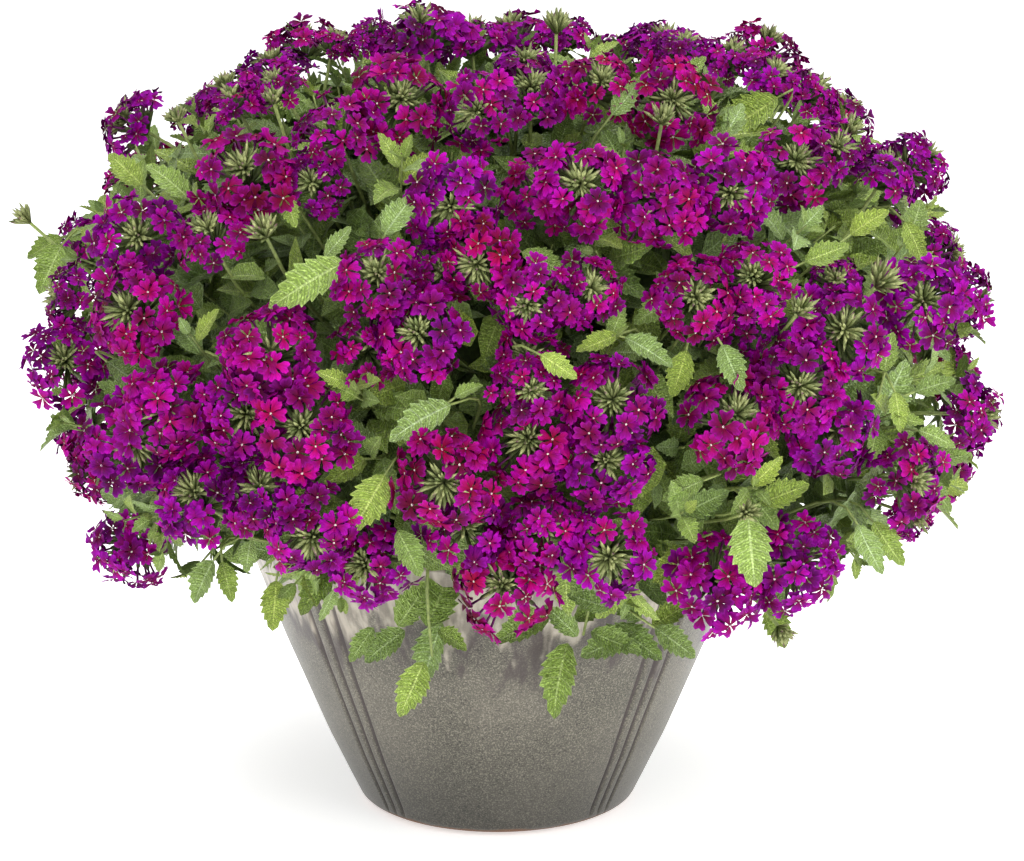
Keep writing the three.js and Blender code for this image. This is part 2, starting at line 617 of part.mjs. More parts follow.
// How far out the core reaches at a height. It is a smaller mound, tufted all over.
function coreReach(azimuth, z) {
  const level = coreShare(azimuth);
  const rise = (z - MOUND_CENTRE.z) / level;
  const height = Math.pow(Math.abs(rise) / (rise > 0 ? MOUND_ABOVE : MOUND_BELOW), MOUND_POWER);
  const [x, y] = [Math.cos(azimuth) / MOUND_REACH[0], Math.sin(azimuth) / MOUND_REACH[1]];
  const flat = Math.pow(Math.abs(x), MOUND_POWER) + Math.pow(Math.abs(y), MOUND_POWER);
  const tufts = Math.cos(WEDGES * azimuth + (Math.PI * (z - CORE_LEVELS[0])) / CORE_TUFT);
  const smooth = Math.pow(Math.max(0, 1 - height) / flat, 1 / MOUND_POWER);
  return level * (1 + CORE_LUMPS * tufts) * smooth;
}

// One main stem with its wedge of the core. Wedges stand a little apart.
function leafyStem(index) {
  const width = (2 * Math.PI) / WEDGES;
  const from = radians(FIRST_WEDGE) + index * width;
  const [middle, to] = [from + width / 2, from + width];
  const at = (azimuth, reach, inset, z) =>
    V(
      MOUND_CENTRE.x + reach * Math.cos(azimuth) + inset * Math.sin(azimuth),
      reach * Math.sin(azimuth) - inset * Math.cos(azimuth),
      z,
    );
  const reach = (azimuth, z) => Math.max(CORE_INSIDE + CORE_LEAST_DEPTH, coreReach(azimuth, z));
  const rings = CORE_LEVELS.map((z) => [
    at(middle, CORE_INSIDE, 0, z),
    at(from, reach(from, z), -WEDGE_GAP, z),
    at(middle, reach(middle, z) + WEDGE_GAP, 0, z),
    at(to, reach(to, z), WEDGE_GAP, z),
  ]);
  const foot = at(middle, STEM_FOOT_RADIUS, 0, soilHeight(STEM_FOOT_RADIUS) - HOLE_DEPTH);
  const square = (z) =>
    [0, 1, 2, 3].map((i) => foot.clone().setZ(z).add(squareCorner(i, STEM_RADIUS)));
  const stem = ringStack([square(foot.z), square(CORE_LEVELS[0] + STEM_INTO_CORE)]);
  return { middle, foot, pieces: [boxed(fused([ringStack(rings), stem]))] };
}

const boxed = (body) => ({ body, box: body.boundingBox() });
const apart = (a, b) =>
  [0, 1, 2].some((k) => a.box.min[k] > b.box.max[k] || b.box.min[k] > a.box.max[k]);
const crossing = (a, b) => (apart(a, b) ? 0 : overlap(a.body, b.body));

const crossingAll = (piece, others) =>
  others.reduce((sum, other) => sum + crossing(piece, other), 0);

// How far a piece runs into the pot, the soil, the heads and the other stems.
function foreignCrossings(piece, own) {
  const others = stems.filter((stem) => stem !== own).flatMap((stem) => stem.pieces);
  return crossingAll(piece, [...solids, ...others]);
}

// How far a piece runs into anything but its own stem's core. Crossing that stem's other
// branches costs little, because they are fused.
function crossings(piece, own) {
  const among = crossingAll(piece, own.pieces.slice(1));
  return foreignCrossings(piece, own) + OWN_CROSSING * among;
}

// The core's wall is straight between its levels.
function coreWall(azimuth, z) {
  const i = Math.max(1, CORE_LEVELS.findIndex((level) => level >= z));
  const [low, high] = [CORE_LEVELS[i - 1], CORE_LEVELS[i]];
  const ends = [coreReach(azimuth, low), coreReach(azimuth, high)];
  return between(ends, (z - low) / (high - low)) * Math.cos(Math.PI / WEDGES / 2);
}

// Where something that stands out at a point is rooted in the core: straight in towards the
// middle of the mound, turned and lifted a little on request, and kept inside the wedge.
function rootOf(stem, point, turned, lifted) {
  const middle = MOUND_CENTRE.clone().add(V(0, 0, lifted));
  const inward = point.clone().sub(middle);
  const reach = Math.hypot(inward.x, inward.y);
  const azimuth = Math.atan2(inward.y, inward.x) + turned;
  const squeeze = Math.min(MOST_SQUEEZE, ROOT_CLEAR / Math.max(reach * CORE_SHARES[0], 1));
  const most = Math.PI / WEDGES - Math.asin(squeeze);
  const kept = stem.middle + THREE.MathUtils.clamp(turnFrom(stem.middle, azimuth), -most, most);
  const at = (out, z) => V(MOUND_CENTRE.x + out * Math.cos(kept), out * Math.sin(kept), z);
  const [lowest, highest] = [CORE_LEVELS[0] + ROOT_CLEAR, CORE_LEVELS.at(-1) - ROOT_CLEAR];
  for (let way = 1; way > ROOT_STEP; way -= ROOT_STEP) {
    const [out, z] = [Math.max(LEAST_ROOT, reach * way), middle.z + inward.z * way];
    if (z >= lowest && z <= highest && out <= coreWall(kept, z) * ROOT_DEPTH) return at(out, z);
  }
  const z = THREE.MathUtils.clamp(point.z, lowest, highest);
  return at(Math.max(LEAST_ROOT, coreWall(kept, z) * ROOT_DEPTH), z);
}

// The ring of bud tips fills the middle opening of its head, and a cone of calyxes carries it. A
// head that hasn't opened is all buds.
function budRings({ point, radius, frame, sides, open }, grow) {
  const place = (x, y, z) =>
    point
      .clone()
      .addScaledVector(frame.first, x)
      .addScaledVector(frame.second, y)
      .addScaledVector(frame.axis, z);
  const opening = Math.hypot(HEAD_TOP.x, HEAD_TOP.y) * radius - FIT_GAP / Math.cos(Math.PI / sides);
  const wide = (open ? opening : radius) + grow;
  const level = open ? HEAD_TOP.z * radius : 0;
  const ring = Array.from({ length: sides }, (_, i) => {
    const turn = (i * 2 * Math.PI) / sides;
    return place(wide * Math.cos(turn), wide * Math.sin(turn), level);
  });
  return [ring, [place(0, 0, level + (open ? BUD_RISE.open : BUD_RISE.closed) * radius)]];
}

function entryOf({ point, radius, axis, open }) {
  return point.clone().addScaledVector(axis, (open ? STEM_ENTRY.open : STEM_ENTRY.closed) * radius);
}

function branchSolid(head, root, grow = 0) {
  const radius = BRANCH_RADIUS + grow;
  const rings = tubeRings([root, entryOf(head)], [radius, radius], head.sides, head.frame.first);
  return boxed(ringStack([...rings, ...budRings(head, grow / 4)]));
}

// A stalk is rooted straight in, or as near to that as it finds a way past the others.
const rootWayLength = ([turned, lifted]) => Math.hypot(turned * TURN_REACH, lifted);
const ROOT_WAYS = ROOT_LIFTS.flatMap((lifted) => ROOT_TURNS.map((turned) => [turned, lifted]));
ROOT_WAYS.sort((a, b) => rootWayLength(a) - rootWayLength(b));

function bestWay(nearStems, make) {
  let best = { cost: Infinity };
  for (const stem of nearStems) {
    for (const [turned, lifted] of ROOT_WAYS) {
      const way = make(stem, turned, lifted);
      const cost = crossings(way.room, stem);
      if (cost < best.cost) best = { ...way, cost, stem };
      if (cost === 0) return best;
    }
  }
  return best;
}

function growBranch(head) {
  const entry = entryOf(head);
  const best = bestWay(stemsBy(head.point).slice(0, 2), (stem, turned, lifted) => {
    const root = rootOf(stem, entry, turned, lifted);
    return { root, room: branchSolid(head, root, BRANCH_ROOM) };
  });
  if (best.cost > 0) clearPetals(best.room);
  best.stem.pieces.push(branchSolid(head, best.root));
}

// Petals that a branch can't pass are parted round it.
function clearPetals(room) {
  solids.forEach((other, i) => {
    if (i < FIRST_BUNCH || crossing(room, other) === 0) return;
    const pieces = other.body.subtract(room.body).decompose();
    solids[i] = boxed(pieces.reduce((a, b) => (a.volume() > b.volume() ? a : b)));
  });
}

// A toothed leaf, folded up along its midrib and drooping at the tip, with its stalk running back
// to its root. Positions along it are shares of its length.
function leafSolid({ base, tip, normal, root }, grow = 0) {
  const squareTo = (way, top) => top.clone().addScaledVector(way, -top.dot(way)).normalize();
  const length = base.distanceTo(tip);
  const along = tip.clone().sub(base).normalize();
  const up = squareTo(along, normal);
  const across = up.clone().cross(along);
  const half = (LEAF_WIDTH / 2) * length + grow;
  const thick = LEAF_THICKNESS / 2 + grow;
  const stalk = STALK_RADIUS + grow;
  const corners = [];
  const add = (p) => corners.push(p) - 1;
  const place = (s, w, h) =>
    base
      .clone()
      .addScaledVector(along, s * length)
      .addScaledVector(across, w)
      .addScaledVector(up, h - LEAF_DROOP * length * s * s);
  const ringAt = (centre, right, top) =>
    [[1, 0], [0, 1], [-1, 0], [0, -1]].map(([a, b]) =>
      add(centre.clone().addScaledVector(right, a * stalk).addScaledVector(top, b * stalk)),
    );
  const stalkWay = base.clone().sub(root).normalize();
  const bendWay = stalkWay.clone().add(along).normalize();
  const bendUp = squareTo(bendWay, up);
  const rootUp = squareTo(stalkWay, bendUp);
  const baseRing = ringAt(base, bendUp.clone().cross(bendWay), bendUp);
  const rootRing = ringAt(root, rootUp.clone().cross(stalkWay), rootUp);
  const edges = [1, -1].map((side) =>
    (length > LONG_LEAF ? LONG_EDGE : SHORT_EDGE).map(([s, depth]) =>
      add(place(s, side * half * depth, LEAF_FOLD * half * depth)),
    ),
  );
  const tipCorner = add(place(1, 0, 0));
  const ribs = [
    { middle: add(place(RIB_AT, 0, thick)), start: baseRing[1], turned: false },
    { middle: add(place(RIB_AT, 0, -thick)), start: baseRing[3], turned: true },
  ];
  const faces = [];
  edges.forEach((edge, sideIndex) => {
    const outline = [baseRing[sideIndex * 2], ...edge, tipCorner];
    for (const { middle, start, turned } of ribs) {
      const face = (b, c) => faces.push(turned !== (sideIndex === 1) ? [middle, c, b] : [middle, b, c]);
      face(start, outline[0]);
      for (let i = 0; i + 1 < outline.length; i++) face(outline[i], outline[i + 1]);
    }
  });
  for (let i = 0; i < 4; i++) {
    const j = (i + 1) % 4;
    faces.push([baseRing[i], baseRing[j], rootRing[j]], [baseRing[i], rootRing[j], rootRing[i]]);
  }
  faces.push([rootRing[0], rootRing[1], rootRing[2]], [rootRing[0], rootRing[2], rootRing[3]]);
  return boxed(solid(corners, faces));
}

// A leaf seen from the front, brought forward or set back a little.
function seenLeaf([across, up, tipAcross, tipUp], index, setBack) {
  const { point: base, scale } = seenOnMound(across, up, setBack);
  const reach = V((tipAcross - across) * scale, 0, 0).addScaledVector(SIGHT_UP, (tipUp - up) * scale);
  const tip = base.clone().add(reach);
  tip.addScaledVector(TO_EYE, reach.length() * between(LEAF_OUT, share(index * GOLDEN)));
  const normal = TO_EYE.clone().addScaledVector(SIGHT_UP, LEAF_UP);
  normal.x += between(LEAF_LEAN, share(index * PLASTIC[0]));
  return { base, tip, normal: normal.normalize() };
}

// It stands where it is clear, with its stalk rooted in the core, or is left out.
function growLeaf(row, index) {
  for (const setBack of LEAF_SETBACKS) {
    const place = seenLeaf(row, index, setBack);
    const { stem, leaf, cost } = bestWay(stemsBy(place.base).slice(0, 1), (stem, turned, lifted) => {
      const leaf = { ...place, root: rootOf(stem, place.base, turned, lifted) };
      return { leaf, room: leafSolid(leaf, LEAF_ROOM) };
    });
    if (cost > 0) continue;
    stem.pieces.push(leafSolid(leaf));
    return;
  }
}

// A shoot leaves the core low down, passes over the pot's rim and hangs in front of it.
function trailingShoot([across, up]) {
  const end = seenOnMound(across, up, 0).point;
  const azimuth = Math.atan2(end.y, end.x - MOUND_CENTRE.x);
  const at = (reach, z) =>
    V(MOUND_CENTRE.x + reach * Math.cos(azimuth), reach * Math.sin(azimuth), z);
  const [reach, height] = SHOOT_OVER_RIM;
  const root = at(SHOOT_ROOT * coreReach(azimuth, height), height);
  const bend = at(reach, height - SHOOT_SAG);
  const radii = [BRANCH_RADIUS, BRANCH_RADIUS, STALK_RADIUS];
  const stem = stemsBy(end)[0];
  stem.pieces.push(boxed(ringStack(tubeRings([root, bend, end], radii, 4, V(1, 0, 0)))));
  return { stem, span: new THREE.Line3(bend, end) };
}

// Its leaves are rooted where they are nearest to it.
function growTrailingLeaf(row, index) {
  let best = { cost: Infinity };
  for (const setBack of LEAF_SETBACKS) {
    const place = seenLeaf(row, index, setBack);
    const ways = shoots.map(({ stem, span }) => {
      const root = span.closestPointToPoint(place.base, true, V(0, 0, 0));
      return { stem, leaf: { ...place, root }, far: root.distanceTo(place.base) };
    });
    const way = ways.reduce((a, b) => (a.far < b.far ? a : b));
    const cost = crossings(leafSolid(way.leaf, LEAF_ROOM), way.stem);
    if (cost < best.cost) best = { ...way, cost };
  }
  best.stem.pieces.push(leafSolid(best.leaf));
}

// Leaves stand out of the core all round, by the plastic number's rule, wherever there is room.
function growBushLeaves() {
  let grown = 0;
  for (let i = 0; i < BUSH_TRIES && grown < BUSH_LEAVES; i++) {
    const azimuth = 2 * Math.PI * share(0.5 + i * PLASTIC[0]);
    const { out, reach } = outOnMound(azimuth, between(BUSH_RISES, share(0.5 + i * PLASTIC[1])));
    const base = MOUND_CENTRE.clone().addScaledVector(out, reach * BUSH_LEAF_BASE);
    const turn = between(BUSH_LEAF_TURN, share(i * GOLDEN));
    const way = V(-Math.sin(azimuth) * turn, Math.cos(azimuth) * turn, BUSH_LEAF_LIFT).add(out);
    const length = between(BUSH_LEAF_LENGTHS, share(i * (1 - GOLDEN)));
    const tip = base.clone().addScaledVector(way.normalize(), length);
    const normal = V(0, 0, 1).addScaledVector(out, BUSH_LEAF_TILT);
    const stem = stemsBy(base)[0];
    const leaf = { base, tip, normal, root: rootOf(stem, base, 0, 0) };
    if (crossings(leafSolid(leaf, LEAF_ROOM), stem) > 0) continue;
    stem.pieces.push(leafSolid(leaf));
    grown++;
  }
}

// A spindle from its root in the core to its tip.
function shootTipSolid({ root, tip }, grow = 0) {
  const { way, radius } = TIP_WIDEST;
  const points = [root, root.clone().lerp(tip, way), tip];
  const { first } = frameOf(tip.clone().sub(root).normalize(), 0);
  const [foot, wide] = tubeRings(points, [TIP_FOOT_RADIUS + grow, radius + grow, 0], TIP_SIDES, first);
  return boxed(ringStack([foot, wide, [tip]]));
}

// Shoot tips fill the space that the heads leave.
function growShootTips() {
  let grown = 0;
  for (let i = 0; i < TIP_TRIES && grown < SHOOT_TIPS; i++) {
    const azimuth = 2 * Math.PI * share(0.5 + i * PLASTIC[0]);
    const { out, reach } = outOnMound(azimuth, between(TIP_RISES, share(0.5 + i * PLASTIC[1])));
    const tip = MOUND_CENTRE.clone().addScaledVector(out, reach * TIP_LEVEL);
    const stem = stemsBy(tip)[0];
    const shoot = { root: rootOf(stem, tip, 0, 0), tip };
    if (foreignCrossings(shootTipSolid(shoot, LEAF_ROOM), stem) > 0) continue;
    stem.pieces.push(shootTipSolid(shoot));
    grown++;
  }
}

// Pieces fused into one body. Hollows that the fusing seals are filled.
function fused(bodies) {
  const parts = Manifold.union(bodies).simplify(FUSE_TOLERANCE).decompose();
  return Manifold.union(parts.filter((body) => body.volume() > 0));
}

const stems = Array.from({ length: WEDGES }, (_, i) => leafyStem(i));
const soil = makeSoil(stems);
const FIRST_BUNCH = 2;
const solids = [pot, soil, ...bunches.map((bunch) => bunch.body)].map(boxed);

// The turn from one azimuth to another, up to half a turn either way.
function turnFrom(a, b) {
  return Math.atan2(Math.sin(b - a), Math.cos(b - a));
}

// The stems from the nearest to a point to the furthest.
function stemsBy(point) {
  const azimuth = Math.atan2(point.y, point.x - MOUND_CENTRE.x);
  const turn = (stem) => Math.abs(turnFrom(stem.middle, azimuth));
  return [...stems].sort((a, b) => turn(a) - turn(b));
}

heads.forEach(growBranch);
BUD_HEADS.forEach(([across, up, radius], i) => {
  const { point, scale } = seenOnMound(across, up, 0);
  const axis = moundNormal(point).add(V(0, 0, BUD_LOOKS_UP)).normalize();
  point.addScaledVector(axis, BUD_STANDS_OUT);
  const frame = frameOf(axis, i);
  growBranch({ point, radius: radius * scale, axis, frame, sides: 4, open: false });
});
LEAVES.forEach(growLeaf);
const shoots = TRAILING_SHOOTS.map(trailingShoot);
TRAILING_LEAVES.forEach(growTrailingLeaf);
growBushLeaves();
growShootTips();

// ---- The plant -------------------------------------------------------------------------------

const plant = new THREE.Group();
function addPiece(name, body, material) {
  const { numProp, vertProperties, triVerts } = body.getMesh();
  const geometry = new THREE.BufferGeometry();
  const positions = new THREE.BufferAttribute(new Float32Array(vertProperties), numProp);
  geometry.setAttribute("position", positions);
  geometry.setIndex([...triVerts]);
  const piece = new THREE.Mesh(geometry, material);
  piece.name = name;
  plant.add(piece);
}

const numbered = (name, i) => name + "_" + String(i + 1).padStart(2, "0");
addPiece("pot", pot, GLAZE);
addPiece("soil", soil, EARTH);
stems.forEach(({ pieces }, i) => {
  addPiece(numbered("leafy_stem", i), fused(pieces.map((piece) => piece.body)), GREEN);
});
bunches.forEach(({ members }, i) => {
  const petals = PETAL_MATERIALS[members[0].colour];
  addPiece(numbered("flower_heads", i), solids[FIRST_BUNCH + i].body, petals);
});
export default plant;
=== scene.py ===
"""A bushy purple verbena in its glazed stoneware pot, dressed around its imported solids."""
import math

import bmesh
import bpy
import numpy as np
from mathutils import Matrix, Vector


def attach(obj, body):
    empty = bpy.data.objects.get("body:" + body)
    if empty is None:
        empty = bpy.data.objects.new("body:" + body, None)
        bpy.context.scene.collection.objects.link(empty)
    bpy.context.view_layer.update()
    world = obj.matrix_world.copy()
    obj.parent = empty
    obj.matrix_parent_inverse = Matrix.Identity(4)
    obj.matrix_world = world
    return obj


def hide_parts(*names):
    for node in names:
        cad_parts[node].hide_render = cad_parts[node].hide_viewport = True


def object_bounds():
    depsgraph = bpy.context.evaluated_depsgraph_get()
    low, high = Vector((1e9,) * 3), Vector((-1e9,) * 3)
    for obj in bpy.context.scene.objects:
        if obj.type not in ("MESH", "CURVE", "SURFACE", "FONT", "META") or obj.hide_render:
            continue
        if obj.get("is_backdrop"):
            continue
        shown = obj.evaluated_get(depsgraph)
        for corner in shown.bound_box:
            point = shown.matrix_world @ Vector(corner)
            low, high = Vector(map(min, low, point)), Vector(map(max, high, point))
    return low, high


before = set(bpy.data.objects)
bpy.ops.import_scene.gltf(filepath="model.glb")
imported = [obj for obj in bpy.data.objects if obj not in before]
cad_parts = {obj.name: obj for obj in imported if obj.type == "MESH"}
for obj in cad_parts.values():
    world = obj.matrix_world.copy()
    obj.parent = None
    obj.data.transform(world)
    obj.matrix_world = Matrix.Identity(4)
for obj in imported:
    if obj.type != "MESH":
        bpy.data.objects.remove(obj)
cad_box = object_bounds()

# ---- The studio --------------------------------------------------------------------------------
# A white table top under soft daylight lamps. The camera stands two metres in front of the plant
# and looks down on it a little.
MM = 0.001
AIM = np.array([10.5, 0.0, 265.0]) * MM
EYE_DISTANCE = 2000 * MM
EYE_RISE = math.radians(12.5)
TO_EYE = np.array([0.0, -math.cos(EYE_RISE), math.sin(EYE_RISE)])
SIGHT_UP = np.array([0.0, math.sin(EYE_RISE), math.cos(EYE_RISE)])
EYE = AIM + EYE_DISTANCE * TO_EYE
LENS = 100.45
SENSOR = 36.0
TABLE_HALF = 30.0
TABLE_WHITE = (0.92, 0.92, 0.92, 1)
TABLE_GLOW = (0.55, 0.93)
TABLE_GLOW_REACH = (0.12, 0.40)
WHITE = (1, 1, 1, 1)
# The sky's light at the horizon and high up, and where it changes.
SKY_LIGHT = (1.0, 0.44)
SKY_HEIGHTS = (0.05, 0.45)
# Soft lamps: place, size across, power in watts.
LAMPS = {
    "key_lamp": ((-0.45, -2.0, 2.3), 1.9, 32),
    "fill_lamp": ((1.7, -1.8, 1.6), 1.9, 33),
    "top_lamp": ((0.3, 0.5, 2.6), 1.0, 24),
}


def aim_at(thing, place, target):
    """Stands a camera or lamp at a place, with its -Z axis towards the target and +Y up."""
    thing.location = place
    back = np.array(place, float) - np.array(target, float)
    flat = math.hypot(back[0], back[1])
    thing.rotation_euler = (math.atan2(flat, back[2]), 0.0, math.atan2(back[0], -back[1]))
    bpy.context.scene.collection.objects.link(thing)


camera_data = bpy.data.cameras.new("camera")
camera_data.lens = LENS
camera_data.sensor_width = SENSOR
camera_data.sensor_fit = "HORIZONTAL"
camera_data.clip_end = 2 * TABLE_HALF
camera = bpy.data.objects.new("camera", camera_data)
aim_at(camera, EYE, AIM)
bpy.context.scene.camera = camera

for lamp_name, (lamp_place, lamp_size, lamp_power) in LAMPS.items():
    lamp_data = bpy.data.lights.new(lamp_name, "AREA")
    lamp_data.shape = "DISK"
    lamp_data.size = lamp_size
    lamp_data.energy = lamp_power
    aim_at(bpy.data.objects.new(lamp_name, lamp_data), lamp_place, AIM)

world = bpy.data.worlds.new("sky")
bpy.context.scene.world = world
world.use_nodes = True
bpy.context.scene.view_settings.view_transform = "Standard"


def new_material(name, **sockets):
    """A material with one Principled BSDF, its own sockets set by name."""
    material = bpy.data.materials.new(name)
    material.use_nodes = True
    shader = material.node_tree.nodes["Principled BSDF"]
    for socket, value in sockets.items():
        shader.inputs[socket.replace("_", " ").title().replace("Ior", "IOR")].default_value = value
    return material, material.node_tree, shader


def node(tree, kind, inputs=(), **settings):
    """A new shader node with its settings, and its inputs set by value or linked from a socket."""
    made = tree.nodes.new(kind)
    for setting, value in settings.items():
        setattr(made, setting, value)
    for key, value in dict(inputs).items():
        if isinstance(value, bpy.types.NodeSocket):
            tree.links.new(value, made.inputs[key])
        else:
            made.inputs[key].default_value = value
    return made


def ramp(tree, value, low, high, to_low=0.0, to_high=1.0):
    """A smooth change from one value to another, as a value goes from low to high."""
    inputs = {"Value": value, "From Min": low, "From Max": high, "To Min": to_low, "To Max": to_high}
    return node(tree, "ShaderNodeMapRange", inputs, interpolation_type="SMOOTHSTEP").outputs[0]


def object_place(tree):
    """The point's place in metres."""
    return node(tree, "ShaderNodeTexCoord").outputs["Object"]


# The sky is brightest at the horizon, and the table glows more the further it is away.
sky_tree = world.node_tree
sky_way = node(sky_tree, "ShaderNodeTexCoord").outputs["Generated"]
sky_height = node(sky_tree, "ShaderNodeSeparateXYZ", {0: sky_way}).outputs[2]
sky = ramp(sky_tree, sky_height, *SKY_HEIGHTS, *SKY_LIGHT)
sky_tree.links.new(sky, sky_tree.nodes["Background"].inputs["Strength"])
sky_tree.nodes["Background"].inputs["Color"].default_value = WHITE
table_material, table_tree, table_shader = new_material(
    "white_table", base_color=TABLE_WHITE, roughness=0.9, emission_color=WHITE
)
table_far = node(table_tree, "ShaderNodeVectorMath", {0: object_place(table_tree)}, operation="LENGTH")
table_glow = ramp(table_tree, table_far.outputs["Value"], *TABLE_GLOW_REACH, *TABLE_GLOW)
table_tree.links.new(table_glow, table_shader.inputs["Emission Strength"])
table_mesh = bpy.data.meshes.new("table")
table_corners = [(x * TABLE_HALF, y * TABLE_HALF, 0) for x, y in ((-1, -1), (1, -1), (1, 1), (-1, 1))]
table_mesh.from_pydata(table_corners, [], [(0, 1, 2, 3)])
table_mesh.materials.append(table_material)
table = bpy.data.objects.new("table", table_mesh)
bpy.context.scene.collection.objects.link(table)
table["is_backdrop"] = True

# ---- The pot -----------------------------------------------------------------------------------
# A thrown stoneware cone with a rounded foot and a soft rolled lip. Groups of three grooves are
# pressed down its wall, and a pale ash glaze runs in streaks over a speckled grey one.
POT_PROFILE = np.array([[8.5, 99.5], [22, 106], [36, 112.5], [54, 121], [124, 150], [215, 184]]) * MM
POT_HEIGHT = POT_PROFILE[-1, 0]
POT_WALL = 9 * MM
POT_FLOOR = 12 * MM
FLOOR_RADIUS = 88.25 * MM
FLAT_RADIUS = 60 * MM
FOOT_RADIUS = 79 * MM
FOOT_ROUND = (20.5 * MM, 9.5 * MM)
FOOT_TURN = np.radians(np.linspace(-90, -10, 8))
LIP_TURN = np.radians(np.linspace(15, 165, 9))
WALL_ROWS = 34
INSIDE_ROWS = 12
PLAIN_COLUMNS = 168
GROOVE_COLUMNS = 60
GROOVE_DEPTH = 2.2 * MM
GROOVE_AZIMUTHS = np.radians([-135, -45, 45, 135])
GROOVE_PITCH = math.radians(4.6)
GROOVE_HALF_WIDTH = math.radians(0.75)
GROOVES_HALF = math.radians(7.5)
GROOVE_ENDS = (3 * MM, 207 * MM)
GROOVE_FADE = 14 * MM
GLAZE_GREY = (0.074, 0.068, 0.050, 1)
GLAZE_SPECK = (0.016, 0.014, 0.010, 1)
GLAZE_PALE_SPECK = (0.245, 0.225, 0.174, 1)
GLAZE_CREAM = (0.50, 0.445, 0.365, 1)
GLAZE_STREAK = (0.235, 0.205, 0.165, 1)
GLAZE_RUN = (0.052, 0.036, 0.036, 1)
BARE_FOOT = (0.17, 0.085, 0.045, 1)
# Painted shade on the pot's lower wall: the glaze's colour is times this share at the foot and full at
# the height below.
LOW_SHADE = 0.43
LOW_SHADE_HEIGHT = 110 * MM
RUN_HEIGHT = 0.058
RUN_SPREAD = 0.020


def smooth_step(low, high, x):
    """0 below low and 1 above high, with an S-shaped rise between."""
    t = np.clip((x - low) / (high - low), 0, 1)
    return t * t * (3 - 2 * t)


def turns_of(count):
    """Azimuths that share a whole turn evenly."""
    return np.arange(count) * 2 * math.pi / count


def round_points(reach, azimuth, height):
    """Points from their distance to the upright axis, azimuth and height."""
    return np.stack(np.broadcast_arrays(reach * np.cos(azimuth), reach * np.sin(azimuth), height), -1)


def grid_faces(count, rows, columns, wrap):
    """Quads between the points of many equal grids that follow each other in row order. A wrapped
    grid's last column meets its first."""
    r, c = np.meshgrid(np.arange(rows - 1), np.arange(columns - (not wrap)), indexing="ij")
    right = (c + 1) % columns
    quads = [r * columns + c, r * columns + right, (r + 1) * columns + right, (r + 1) * columns + c]
    first_points = np.arange(count) * rows * columns
    return (np.stack(quads, -1).reshape(-1, 4) + first_points[:, None, None]).reshape(-1, 4)


def make_piece(name, points, material, slot, tint=None, uv=None, wrap=False, weld=False, caps=()):
    """A smooth mesh object at the origin on the root body, from one or more equal grids of points,
    with a colour and a UV for each point. Caps are more faces, which close the ends of tubes."""
    rows, columns = points.shape[-3:-1]
    faces = grid_faces(points.size // (3 * rows * columns), rows, columns, wrap)
    mesh = bpy.data.meshes.new(name)
    mesh.from_pydata(points.reshape(-1, 3).tolist(), [], [*faces.tolist(), *caps])
    corners = np.zeros(len(mesh.loops), np.int32)
    mesh.loops.foreach_get("vertex_index", corners)
    if uv is not None:
        layer = mesh.uv_layers.new(name="surface")
        layer.data.foreach_set("uv", uv.reshape(-1, 2)[corners].astype(np.float32).ravel())
    if tint is not None:
        colours = mesh.color_attributes.new("tint", "FLOAT_COLOR", "POINT")
        rgba = np.ones((len(mesh.vertices), 4), np.float32)
        rgba[:, :3] = np.broadcast_to(tint, points.shape).reshape(-1, 3)
        colours.data.foreach_set("color", rgba.ravel())
    if weld:
        merge_points(mesh)
    mesh.shade_smooth()
    mesh.materials.append(material)
    piece = bpy.data.objects.new(name, mesh)
    bpy.context.scene.collection.objects.link(piece)
    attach(piece, "root")
    return piece


def merge_points(mesh):
    """Welds points that lie together, as at a pole or a seam."""
    shape = bmesh.new()
    shape.from_mesh(mesh)
    bmesh.ops.remove_doubles(shape, verts=shape.verts, dist=1e-6)
    bmesh.ops.recalc_face_normals(shape, faces=shape.faces)
    shape.to_mesh(mesh)
    shape.free()


def pot_radius(z):
    """The outer wall's radius at a height, on straight lines through the profile."""
    return np.interp(z, POT_PROFILE[:, 0], POT_PROFILE[:, 1])


def pot_outline():
    """Radius and height from the middle of the base round the foot, which is a quarter of an
    ellipse, up the wall, over the lip, a half circle, and down inside. Also how many are outside."""
    foot = [FOOT_RADIUS + FOOT_ROUND[0] * np.cos(FOOT_TURN), FOOT_ROUND[1] * (1 + np.sin(FOOT_TURN))]
    lip_height = POT_HEIGHT - POT_WALL / 2
    wall = np.linspace(FOOT_ROUND[1], lip_height, WALL_ROWS)
    middle = pot_radius(lip_height) - POT_WALL / 2
    lip = [middle + POT_WALL / 2 * np.cos(LIP_TURN), lip_height + POT_WALL / 2 * np.sin(LIP_TURN)]
    inside = np.linspace(lip_height, POT_FLOOR, INSIDE_ROWS)
    inside_reach = np.interp(inside, [POT_FLOOR, POT_HEIGHT], [FLOOR_RADIUS, middle - POT_WALL / 2])
    outside = [[[0, FLAT_RADIUS], [0, 0]], foot, [pot_radius(wall), wall]]
    inner = [lip, [inside_reach, inside], [[FLAT_RADIUS, 0], [POT_FLOOR, POT_FLOOR]]]
    return np.concatenate([*outside, *inner], 1).T, np.concatenate(outside, 1).shape[1]


def turned_from(azimuths, lines):
    """How far azimuths are turned from the nearest of some lines."""
    return np.abs((azimuths[:, None] - lines + math.pi) % (2 * math.pi) - math.pi).min(1)


